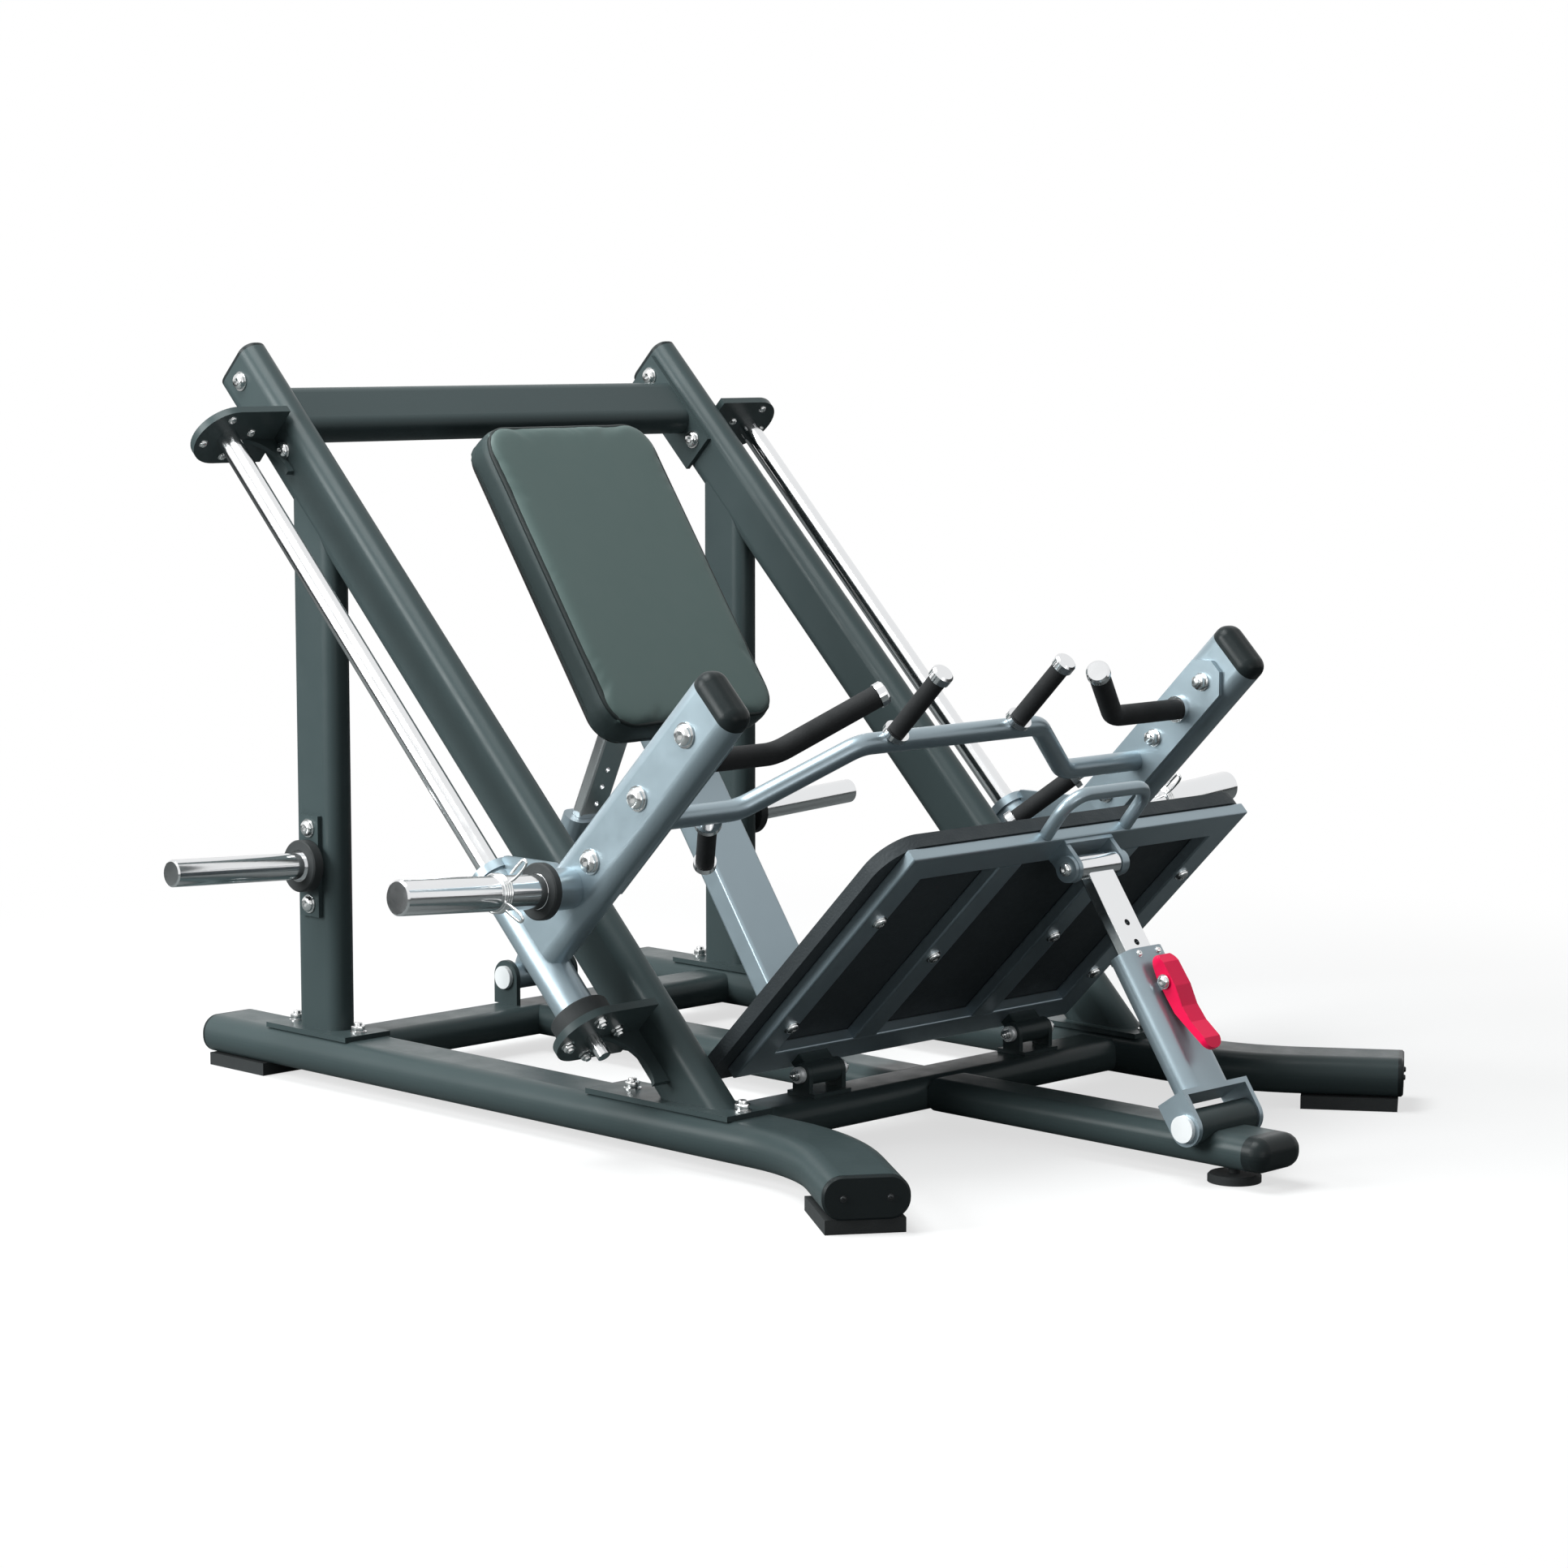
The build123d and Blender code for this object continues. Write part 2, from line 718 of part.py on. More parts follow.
parts["cross_bar"] = bent(bar_points, bar_bend, bar_diameter, bar_diameter - 2 * bar_wall)

grip_way = radians(grip_side_angle)
grip_roots = [
    (on_carriage(grip_middle_x, bar_middle_reach), inc_n, grip_middle_start),
    (
        on_carriage(grip_side_x, bar_side_reach),
        -X * cos(grip_way) - inc_n * sin(grip_way),
        grip_side_start,
    ),
]
grip_posts = []
grip_foams = []
for root, way, start in grip_roots:
    seat = root + way * start
    flange_end = seat + way * grip_flange_length
    foam_start = flange_end + way * soft_gap
    collar_end = root + way * grip_length
    collar_start = collar_end - way * grip_collar_length
    foam_end = collar_start - way * soft_gap
    post_solid = rod(seat, flange_end, grip_flange_diameter)
    post_solid = post_solid + rod(root, collar_end, grip_core_diameter)
    collar = rod(collar_start, collar_end, grip_collar_diameter)
    collar = chamfer(collar.edges().group_by(Axis(root, way))[-1], 3)
    post_solid = post_solid + collar
    bar_clear = rod(root - X * 80, root + X * 80, bar_diameter + 2 * soft_gap)
    grip_posts.append((post_solid - bar_clear).solids().sort_by(SortBy.VOLUME)[-1])
    grip_foams.append(
        pipe(foam_start, foam_end, grip_foam_diameter, grip_core_diameter + 2 * soft_gap)
    )
parts["grip_posts"] = both_sides(Compound(children=grip_posts))
parts["grip_foams"] = both_sides(Compound(children=grip_foams))

handle_points = [
    on_carriage(plate_inner, handle_reach),
    on_carriage(handle_bend_x, handle_reach),
    on_carriage(handle_end_x, handle_end_reach),
]
handle_way = (handle_points[2] - handle_points[1]).normalized()
handle_core = bent(handle_points, handle_bend, handle_core_diameter)
ring_start = handle_points[0]
ring_end = ring_start - X * handle_ring_length
handle_cap_start = handle_points[2] - handle_way * handle_cap_length
handle_cap = rod(handle_cap_start, handle_points[2], handle_cap_diameter)
handle_cap = chamfer(handle_cap.edges().group_by(Axis(handle_points[1], handle_way))[-1], 3)
parts["handles"] = both_sides(
    handle_core + rod(ring_start, ring_end, handle_ring_diameter) + handle_cap
)
foam_points = [
    ring_end - X * soft_gap,
    handle_points[1],
    handle_cap_start - handle_way * soft_gap,
]
parts["handle_foams"] = both_sides(
    bent(foam_points, handle_bend, handle_foam_diameter, handle_core_diameter + 2 * soft_gap)
)

# ================================================================= footplate
foot_p = Vector(0, -cos(radians(foot_angle)), sin(radians(foot_angle)))
foot_m = Vector(0, -sin(radians(foot_angle)), -cos(radians(foot_angle)))
foot_base = Vector(0, foot_low_y, foot_low_z)


def on_foot(x, up, out=0.0):
    """Point on the footplate: up its slope, out from its front face."""
    return foot_base + Vector(x, 0, 0) + foot_p * up + foot_m * out


mid_depth = -foot_member_depth / 2
edge_x = foot_half_width - foot_member_width / 2
inner_x = foot_half_width - foot_member_width
inner_top = foot_length - foot_member_width
foot_plane = Plane(origin=on_foot(0, 0), x_dir=X, z_dir=foot_m)


def foot_member(start, end, wide, outline=()):
    """Flat tube of the footplate's frame, mitred to an outline in its plane."""
    tube = box_tube(
        start, end, wide, foot_member_width, foot_member_depth, foot_corner, foot_wall
    )
    if outline:
        face = make_face(Polyline(*outline, close=True))
        tube = tube & extrude(foot_plane * face, foot_member_depth, both=True)
    return tube.solids()[0]


stiles = []
for side in (-1, 1):
    rib_x = side * foot_rib_x
    stiles.append(
        foot_member(
            on_foot(rib_x, foot_member_width, mid_depth), on_foot(rib_x, inner_top, mid_depth), X
        )
    )
    stiles.append(
        foot_member(
            on_foot(side * edge_x, 0, mid_depth),
            on_foot(side * edge_x, foot_length, mid_depth),
            X,
            (
                (side * foot_half_width, 0),
                (side * inner_x, foot_member_width),
                (side * inner_x, inner_top),
                (side * foot_half_width, foot_length),
            ),
        )
    )
parts["footplate_stiles"] = Compound(children=stiles)
cross_members = []
for near, far in ((0.0, foot_member_width), (foot_length, inner_top)):
    cross_members.append(
        foot_member(
            on_foot(-foot_half_width, (near + far) / 2, mid_depth),
            on_foot(foot_half_width, (near + far) / 2, mid_depth),
            foot_p,
            ((-foot_half_width, near), (foot_half_width, near), (inner_x, far), (-inner_x, far)),
        )
    )
parts["footplate_rails"] = Compound(children=cross_members)
slab_low = -slab_overhang
slab_high = foot_length + slab_top_overhang
slab_plane = Plane(
    origin=on_foot(0, (slab_low + slab_high) / 2, -foot_member_depth), x_dir=X, z_dir=foot_m
)
slab_outline = Rectangle(2 * (foot_half_width + slab_overhang), slab_high - slab_low)
slab_outline = fillet(slab_outline.vertices().sort_by(Axis.Y)[-2:], slab_corner)
slab_outline = fillet(slab_outline.vertices().sort_by(Axis.Y)[:2], slab_low_corner)
parts["footplate_slab"] = extrude(slab_plane * slab_outline, -slab_thickness)
loop_top = foot_length + loop_rise
loop_points = [
    on_foot(-loop_half_width, foot_length, mid_depth),
    on_foot(-loop_half_width, loop_top, mid_depth - loop_lean),
    on_foot(loop_half_width, loop_top, mid_depth - loop_lean),
    on_foot(loop_half_width, foot_length, mid_depth),
]
loop = bent(loop_points, loop_bend, loop_diameter)
below_loop = bar(
    on_foot(0, inner_top, mid_depth),
    on_foot(0, foot_length, mid_depth),
    X,
    4 * loop_half_width,
    4 * loop_diameter,
    loop_diameter,
)
parts["footplate_loop"] = loop - below_loop

hinge = Vector(hinge_x, hinge_y, hinge_z)
barrel_half = hinge_barrel_length / 2
hinge_rel = hinge - foot_base
hinge_up = hinge_rel.dot(foot_p)
hinge_out = hinge_rel.dot(foot_m)
barrel = rod(hinge - X * barrel_half, hinge + X * barrel_half, hinge_barrel_diameter)
leaf_low = on_foot(hinge_x, hinge_up)
leaf = bar(
    leaf_low, leaf_low + foot_m * hinge_out, X, hinge_barrel_length, hinge_leaf_width, 2
)
barrel = barrel + leaf
barrel = barrel - rod(
    hinge - X * hinge_barrel_length, hinge + X * hinge_barrel_length, hinge_pin_diameter + 2 * run_gap
)
parts["footplate_barrels"] = both_sides(barrel)
ear_start = barrel_half + soft_gap
ear_reach = hinge_z - cross_top
hinge_base = Pos(hinge_x, hinge_y, cross_top + hinge_base_thickness / 2) * Box(
    2 * (ear_start + hinge_ear_thickness), hinge_base_depth, hinge_base_thickness
)
ears = []
for low in (-ear_start - hinge_ear_thickness, ear_start):
    ears.append(
        ear(hinge, -Z, hinge_x + low, hinge_ear_thickness, hinge_barrel_diameter / 2, ear_reach)
    )
hinge_bracket = hinge_base + ears[0] + ears[1]
hinge_half = ear_start + hinge_ear_thickness
hinge_bracket = hinge_bracket - rod(
    hinge - X * hinge_base_depth * 2, hinge + X * hinge_base_depth * 2, hinge_pin_diameter + 2 * run_gap
)
barrel_sweep = rod(
    hinge - X * ear_start, hinge + X * ear_start, hinge_barrel_diameter + 2 * soft_gap
)
hinge_bracket = hinge_bracket - barrel_sweep
parts["hinge_brackets"] = both_sides(hinge_bracket)
hinge_pin = rod(
    hinge - X * (hinge_half + soft_gap), hinge + X * (hinge_half + soft_gap), hinge_pin_diameter
)
for side in (-1, 1):
    seat = hinge + X * side * (hinge_half + soft_gap)
    hinge_pin = hinge_pin + rod(seat, seat + X * side * hinge_pin_head_length, hinge_pin_head)
hinge_pins = both_sides(hinge_pin)

front_pin = Vector(0, front_pin_y, front_pin_z)
pin_rel = front_pin - foot_base
pin_up = pin_rel.dot(foot_p)
pin_out = pin_rel.dot(foot_m)
foot_bracket = bar(
    on_foot(0, pin_up),
    on_foot(0, pin_up, front_base_thickness),
    X,
    2 * (front_ear_x + plate_thickness),
    front_ear_width,
    2,
)
for low in (-front_ear_x - plate_thickness, front_ear_x):
    foot_bracket = foot_bracket + ear(
        front_pin, -foot_m, low, plate_thickness, front_ear_width / 2 - 2, pin_out
    )
foot_bracket = foot_bracket - cross_rod(front_pin, -90, 90, front_pin_diameter + 2 * run_gap)
behind_face = bar(
    on_foot(0, pin_up),
    on_foot(0, pin_up, -front_ear_width),
    X,
    4 * front_ear_x,
    4 * front_ear_width,
    2,
)
parts["footplate_bracket"] = foot_bracket - behind_face
pin_half = front_ear_x + plate_thickness + soft_gap
foot_pin = cross_rod(front_pin, -pin_half, pin_half, front_pin_diameter)
for side in (-1, 1):
    seat = front_pin + X * side * pin_half
    foot_pin = foot_pin + rod(seat, seat + X * side * pin_head_thickness, front_pin_head)
parts["footplate_pin"] = foot_pin


# ================================================================= adjusters
def adjuster(pivot, top_pin):
    """Direction of an adjuster from its bottom pivot to its top pin, and the square-on front way."""
    along = (top_pin - pivot).normalized()
    return along, (top_pin - pivot).length


def bored(shape, pivot, diameter):
    return shape - cross_rod(pivot, -120, 120, diameter)


def slide_bar(pivot, along, front, start, length, play):
    """Perforated slide bar with an eye for the top pin."""
    end = pivot + along * (length - eye_diameter / 2 + 3)
    solid = bar(pivot + along * start, end, X, slide_bar_width, slide_bar_depth, slide_bar_corner)
    hole_run = length - eye_solid_length - start - hole_first
    for k in range(int(hole_run / hole_pitch) + 1):
        spot = pivot + along * (start + hole_first + hole_pitch * k)
        reach = front * slide_bar_depth
        solid = solid - rod(spot - reach, spot + reach, hole_diameter)
    top = pivot + along * length
    solid = solid + cross_rod(top, -eye_half, eye_half, eye_diameter)
    return bored(solid, top, front_pin_diameter + 2 * play)


def slide_sleeve(pivot, along, start, end):
    """Flat-oval outer tube with a guide bush at its mouth."""
    low = pivot + along * start
    high = pivot + along * end
    solid = box_tube(
        low, high, X, adjuster_width, adjuster_depth, adjuster_corner, adjuster_wall
    )
    guide = bar(
        high - along * guide_length, high, X, adjuster_width, adjuster_depth, adjuster_corner
    )
    slot = bar(
        high - along * 2 * guide_length,
        high + along,
        X,
        slide_bar_width + 2 * soft_gap,
        slide_bar_depth + 2 * soft_gap,
        slide_bar_corner,
    )
    return solid + guide - slot


def lever_lugs(pivot, along, front):
    """Pair of lugs on a sleeve's front face with the lever's pin between them."""
    base = pivot + along * lever_pivot
    axle = base + front * (adjuster_depth / 2 + lever_standoff)
    outer = lever_width / 2 - lever_wall - soft_gap
    solid = None
    for side in (-1, 1):
        low = outer - lug_thickness if side > 0 else -outer
        plane = Plane(origin=(low, axle.Y, axle.Z), x_dir=along, z_dir=X)
        foot = lever_standoff + 2.0
        turn = 1.0 if plane.y_dir.dot(front) < 0 else -1.0
        nose = Circle(lug_nose)
        shape = nose + Pos(0, turn * foot / 2) * Rectangle(2 * lug_nose, foot)
        lug = extrude(plane * shape, lug_thickness)
        solid = lug if solid is None else solid + lug
    return solid, axle


def lock_lever(axle, along, front):
    """Bent lever of channel section that straddles the lugs; its long arm hangs down the sleeve."""
    plane = Plane(origin=(-lever_width / 2, axle.Y, axle.Z), x_dir=-along, z_dir=X)
    sign = 1.0 if plane.y_dir.dot(front) > 0 else -1.0
    top = -lever_upper
    end = lever_length - lever_upper
    outer = [
        (top, -4), (top + 4, 8), (top + 18, 13), (14, 14), (44, 9), (70, 11), (end - 16, 20),
        (end, 18), (end, 11), (end - 14, 9), (72, -1), (46, -9), (20, -10), (-12, -10),
    ]
    solid = extrude(
        plane * make_face(Polyline(*[(a, sign * b) for a, b in outer], close=True)), lever_width
    )
    front_plane = Plane(
        origin=axle - along * ((top + end) / 2) - front * lever_width, x_dir=X, z_dir=front
    )
    outline = RectangleRounded(lever_width, lever_length, lever_end_radius)
    solid = solid & extrude(front_plane * outline, 2 * lever_width)
    inner = [(top - 2, -30), (top + 9, 2), (top + 21, 8.5), (14, 9.5), (38, 5), (46, -30)]
    hollow_plane = Plane(
        origin=(-lever_width / 2 + lever_wall, axle.Y, axle.Z), x_dir=-along, z_dir=X
    )
    hollow = make_face(Polyline(*[(a, sign * b) for a, b in inner], close=True))
    return solid - extrude(hollow_plane * hollow, lever_width - 2 * lever_wall)


def lever_set(pivot, along, front, sleeve):
    """Fit lugs, lever pin bore, lever and spring plunger to a sleeve."""
    lugs, axle = lever_lugs(pivot, along, front)
    sleeve = sleeve + lugs
    pin = cross_rod(axle, -lever_width / 2 - 4, lever_width / 2 + 4, lever_pin_diameter)
    lever = lock_lever(axle, along, front)
    lever = lever - cross_rod(axle, -60, 60, lever_pin_diameter + 2 * run_gap)
    sleeve = sleeve + pin
    wall_spot = pivot + along * (lever_pivot - plunger_drop)
    tip = wall_spot + front * (slide_bar_depth / 2 + 2 * soft_gap)
    head = wall_spot + front * (adjuster_depth / 2 + lever_standoff - 2)
    plunger = rod(tip, head, plunger_diameter)
    plunger = plunger + rod(head - front * 4, head, plunger_head)
    sleeve = sleeve - rod(tip - front * 2, head, plunger_diameter + 2 * run_gap)
    return sleeve, lever, plunger


front_way, front_span = adjuster(front_pivot, front_pin)
front_face = front_way.cross(X)
if front_face.Y > 0:
    front_face = -front_face
sleeve = slide_sleeve(front_pivot, front_way, clevis_web_distance, front_sleeve_end)
web_low = front_pivot + front_way * clevis_web_distance
sleeve = sleeve + bar(
    web_low,
    web_low + front_way * clevis_web_thickness,
    X,
    2 * (clevis_half + plate_thickness),
    2 * clevis_radius,
    4,
)
clevis_end = clevis_web_distance + clevis_web_thickness
for low in (-clevis_half - plate_thickness, clevis_half):
    sleeve = sleeve + ear(
        front_pivot, front_way, low, plate_thickness, clevis_radius, clevis_end
    )
sleeve = bored(sleeve, front_pivot, pivot_pin_diameter + 2 * run_gap)
sleeve, lever, plunger = lever_set(front_pivot, front_way, front_face, sleeve)
parts["front_sleeve"] = sleeve
parts["front_lever"] = lever
parts["front_plunger"] = plunger
parts["front_slide_bar"] = slide_bar(
    front_pivot,
    front_way,
    front_face,
    front_bar_start,
    front_span,
    front_play,
)
pivot_tube = cross_rod(front_pivot, -pivot_tube_half, pivot_tube_half, pivot_tube_diameter)
parts["front_pivot_tube"] = bored(pivot_tube, front_pivot, pivot_pin_diameter + 2 * run_gap)
pin_reach = clevis_half + plate_thickness + soft_gap
front_axle = cross_rod(front_pivot, -pin_reach, pin_reach, pivot_pin_diameter)
for side in (-1, 1):
    seat = front_pivot + X * side * pin_reach
    front_axle = front_axle + rod(
        seat, seat + X * side * pivot_head_thickness, pivot_head_diameter
    )

# ================================================================= backrest
back_pivot = Vector(0, back_pivot_y, back_pivot_z)
back_u = Vector(0, cos(radians(back_angle)), sin(radians(back_angle)))
back_n = Vector(0, -sin(radians(back_angle)), cos(radians(back_angle)))
back_start = back_pivot + back_u * (back_barrel_diameter / 2 - 4)
back_end = back_pivot + back_u * (pad_start + pad_length - back_beam_below_pad)
back_beam = box_tube(
    back_start, back_end, X, back_beam_width, back_beam_depth, back_beam_corner, back_beam_wall
)
back_beam = back_beam + cross_rod(
    back_pivot, -back_barrel_half, back_barrel_half, back_barrel_diameter
)
back_beam = bored(back_beam, back_pivot, pivot_pin_diameter + 2 * run_gap)
rear_pin = Vector(0, rear_pin_y, rear_pin_z)
lug_rel = rear_pin - back_pivot
lug_up = lug_rel.dot(back_u)
lug_out = lug_rel.dot(-back_n)
for low in (-back_lug_x - plate_thickness, back_lug_x):
    lug = ear(
        rear_pin, back_n, low, plate_thickness, back_lug_width / 2, lug_out - back_beam_depth / 2
    )
    back_beam = back_beam + lug
back_beam = bored(back_beam, rear_pin, front_pin_diameter + 2 * run_gap)
parts["back_beam"] = back_beam
parts["back_beam_cap"] = cap(
    back_end, back_u, X, back_beam_width, back_beam_depth, back_beam_corner, back_beam_wall
)
back_pin_half = back_lug_x + plate_thickness + soft_gap
back_top_pin = cross_rod(rear_pin, -back_pin_half, back_pin_half, front_pin_diameter)
for side in (-1, 1):
    seat = rear_pin + X * side * back_pin_half
    back_top_pin = back_top_pin + rod(seat, seat + X * side * pin_head_thickness, back_pin_head)
parts["back_top_pin"] = back_top_pin

board_seat = back_pivot + back_u * (pad_start + pad_length / 2) + back_n * (back_beam_depth / 2)
board_plane = Plane(origin=board_seat, x_dir=X, z_dir=back_n)
board_shape = RectangleRounded(
    2 * (pad_half_width - board_inset), pad_length - 2 * board_inset, pad_corner - board_inset
)
parts["pad_board"] = extrude(board_plane * board_shape, board_thickness)
pad_plane = Plane(
    origin=board_seat + back_n * (board_thickness + soft_gap), x_dir=X, z_dir=back_n
)
pad_shape = RectangleRounded(2 * pad_half_width, pad_length, pad_corner)
pad = extrude(pad_plane * pad_shape, pad_thickness - soft_gap)
top_rim = pad.faces().sort_by(Axis(board_seat, back_n))[-1].edges()
parts["back_pad"] = fillet(top_rim, pad_rim)

saddle = Pos(0, back_pivot_y, cross_top + plate_thickness / 2) * Box(
    back_saddle_width, back_saddle_length, plate_thickness
)
lug_start = back_barrel_half + soft_gap
for low in (-lug_start - plate_thickness, lug_start):
    saddle = saddle + ear(
        back_pivot, -Z, low, plate_thickness, back_lug_radius, back_pivot_z - cross_top
    )
parts["back_saddle"] = bored(saddle, back_pivot, pivot_pin_diameter + 2 * run_gap)
back_axle_half = lug_start + plate_thickness + soft_gap
back_axle = cross_rod(back_pivot, -back_axle_half, back_axle_half, pivot_pin_diameter)
for side in (-1, 1):
    seat = back_pivot + X * side * back_axle_half
    back_axle = back_axle + rod(
        seat, seat + X * side * pivot_head_thickness, back_pivot_head
    )

# rear adjuster between the rear cross tube's clevis and the backrest
rear_pivot = Vector(0, rear_pivot_y, rear_pivot_z)
rear_way, rear_span = adjuster(rear_pivot, rear_pin)
rear_face = rear_way.cross(X)
if rear_face.Y < 0:
    rear_face = -rear_face
rear_sleeve = slide_sleeve(
    rear_pivot, rear_way, rear_pivot_barrel / 2 - 4, rear_sleeve_end
)
rear_barrel_half = rear_clevis_x - soft_gap
rear_sleeve = rear_sleeve + cross_rod(
    rear_pivot, -rear_barrel_half, rear_barrel_half, rear_pivot_barrel
)
rear_sleeve = bored(rear_sleeve, rear_pivot, pivot_pin_diameter + 2 * run_gap)
rear_sleeve, rear_lever, rear_plunger = lever_set(rear_pivot, rear_way, rear_face, rear_sleeve)
parts["rear_sleeve"] = rear_sleeve
parts["rear_lever"] = rear_lever
parts["rear_plunger"] = rear_plunger
parts["rear_slide_bar"] = slide_bar(
    rear_pivot,
    rear_way,
    rear_face,
    rear_bar_start,
    rear_span,
    rear_play,
)
rear_lugs = []
for low in (-rear_clevis_x - plate_thickness, rear_clevis_x):
    lug = ear(
        rear_pivot, -Z, low, plate_thickness, rear_clevis_width / 2, rear_pivot_z - cross_top
    )
    rear_lugs.append(bored(lug, rear_pivot, pivot_pin_diameter + 2 * run_gap))
parts["rear_clevis"] = Compound(children=rear_lugs)
rear_axle_half = rear_clevis_x + plate_thickness + soft_gap
rear_axle = cross_rod(rear_pivot, -rear_axle_half, rear_axle_half, pivot_pin_diameter)
for side in (-1, 1):
    seat = rear_pivot + X * side * rear_axle_half
    rear_axle = rear_axle + rod(
        seat, seat + X * side * pivot_head_thickness, pivot_head_diameter
    )
parts["pivot_pins"] = Compound(
    children=[
        *hinge_pins.solids(),
        *front_axle.solids(),
        *back_axle.solids(),
        *rear_axle.solids(),
    ]
)

for name, shape in parts.items():
    export_step(shape, f"parts/{name}.step")
print(len(parts), "nodes")
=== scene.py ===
import bpy, json, math
from mathutils import Matrix, Vector


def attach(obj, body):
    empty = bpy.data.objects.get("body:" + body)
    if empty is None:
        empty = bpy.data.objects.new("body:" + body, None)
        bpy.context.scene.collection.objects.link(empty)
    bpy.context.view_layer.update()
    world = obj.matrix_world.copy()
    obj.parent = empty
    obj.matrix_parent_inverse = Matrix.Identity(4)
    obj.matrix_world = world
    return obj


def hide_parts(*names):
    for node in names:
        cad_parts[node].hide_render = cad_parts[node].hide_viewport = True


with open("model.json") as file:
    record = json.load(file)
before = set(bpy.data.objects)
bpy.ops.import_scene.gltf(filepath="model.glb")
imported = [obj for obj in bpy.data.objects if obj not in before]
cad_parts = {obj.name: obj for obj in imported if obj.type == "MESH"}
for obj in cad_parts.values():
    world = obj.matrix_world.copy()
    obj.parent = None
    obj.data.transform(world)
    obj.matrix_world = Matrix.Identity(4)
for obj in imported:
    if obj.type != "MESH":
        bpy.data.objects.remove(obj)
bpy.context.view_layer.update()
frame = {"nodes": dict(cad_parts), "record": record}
nodes = frame["nodes"]
bpy.ops.object.select_all(action="DESELECT")
scene = bpy.context.scene
scene.view_settings.view_transform = "Standard"

# ------------------------------------------------------------------ studio
# A pale floor with the machine standing on it, a large soft light overhead, one at the left and
# a weak low one in front, and a camera about six metres off the front corner.
camera_data = bpy.data.cameras.new("front_corner_camera")
camera_data.lens = 87.569
camera_data.sensor_width = 36
camera_data.clip_end = 200
camera = bpy.data.objects.new("front_corner_camera", camera_data)
scene.collection.objects.link(camera)
camera.location = (-4.1641, -4.0686, 1.1858)
camera.rotation_euler = (math.radians(83.20), 0, math.radians(-45.15))
scene.camera = camera


def soft_light(name, place, aim, size, watts, tint):
    """Rectangular area light at a place, turned to face a point."""
    lamp = bpy.data.lights.new(name, "AREA")
    lamp.shape = "RECTANGLE"
    lamp.size, lamp.size_y = size
    lamp.energy = watts
    lamp.color = tint
    holder = bpy.data.objects.new(name, lamp)
    scene.collection.objects.link(holder)
    holder.location = place
    holder.rotation_euler = (Vector(aim) - Vector(place)).to_track_quat("-Z", "Y").to_euler()


soft_light("overhead_softbox", (-1.4, 0.7, 4.6), (0, 0, 0.4), (2.8, 2.8), 260, (0.97, 1.0, 1.0))
soft_light("left_softbox", (-4.2, 1.9, 2.1), (0, 0, 0.7), (2.4, 2.4), 290, (0.97, 1.0, 1.0))
soft_light("front_fill", (-1.2, -4.2, 0.8), (0, -0.3, 0.4), (2.0, 1.2), 20, (1.0, 1.0, 1.0))

world = bpy.data.worlds.new("white_studio")
scene.world = world
world.use_nodes = True
tree = world.node_tree
tree.nodes.clear()
out = tree.nodes.new("ShaderNodeOutputWorld")
seen = tree.nodes.new("ShaderNodeBackground")
seen.inputs["Color"].default_value = (1, 1, 1, 1)
seen.inputs["Strength"].default_value = 1.0
fill = tree.nodes.new("ShaderNodeBackground")
fill.inputs["Color"].default_value = (0.93, 0.97, 1.0, 1)
fill.inputs["Strength"].default_value = 0.09
path = tree.nodes.new("ShaderNodeLightPath")
either = tree.nodes.new("ShaderNodeMath")
either.operation = "MAXIMUM"
also = tree.nodes.new("ShaderNodeMath")
also.operation = "MAXIMUM"
mix = tree.nodes.new("ShaderNodeMixShader")
tree.links.new(path.outputs["Is Camera Ray"], either.inputs[0])
tree.links.new(path.outputs["Is Glossy Ray"], either.inputs[1])
tree.links.new(either.outputs[0], also.inputs[0])
tree.links.new(path.outputs["Is Transmission Ray"], also.inputs[1])
tree.links.new(also.outputs[0], mix.inputs["Fac"])
tree.links.new(fill.outputs[0], mix.inputs[1])
tree.links.new(seen.outputs[0], mix.inputs[2])
tree.links.new(mix.outputs[0], out.inputs["Surface"])

bpy.ops.mesh.primitive_plane_add(size=120, location=(0, 0, -0.0005))
floor = bpy.context.object
floor.name = "studio_floor"
pale = bpy.data.materials.new("pale_studio_floor")
pale.use_nodes = True
tree = pale.node_tree
tree.nodes.clear()
out = tree.nodes.new("ShaderNodeOutputMaterial")
paint = tree.nodes.new("ShaderNodeBsdfPrincipled")
paint.inputs["Roughness"].default_value = 0.9
paint.inputs["Specular IOR Level"].default_value = 0.0
glow = tree.nodes.new("ShaderNodeEmission")
glow.inputs["Strength"].default_value = 1.0
place = tree.nodes.new("ShaderNodeTexCoord")
length = tree.nodes.new("ShaderNodeVectorMath")
length.operation = "LENGTH"
fade = tree.nodes.new("ShaderNodeMapRange")
fade.interpolation_type = "SMOOTHSTEP"
fade.inputs["From Min"].default_value = 1.0
fade.inputs["From Max"].default_value = 2.6
fade.inputs["To Min"].default_value = 0.68
fade.inputs["To Max"].default_value = 1.0
path = tree.nodes.new("ShaderNodeLightPath")
bounce = tree.nodes.new("ShaderNodeMix")
bounce.data_type = "RGBA"
bounce.inputs["A"].default_value = (0.16, 0.17, 0.17, 1)
bounce.inputs["B"].default_value = (0.9, 0.9, 0.9, 1)
tree.links.new(path.outputs["Is Camera Ray"], bounce.inputs["Factor"])
tree.links.new(bounce.outputs["Result"], paint.inputs["Base Color"])
shown = tree.nodes.new("ShaderNodeMath")
shown.operation = "MULTIPLY"
blend = tree.nodes.new("ShaderNodeMixShader")
tree.links.new(place.outputs["Object"], length.inputs[0])
tree.links.new(length.outputs["Value"], fade.inputs["Value"])
tree.links.new(fade.outputs["Result"], shown.inputs[0])
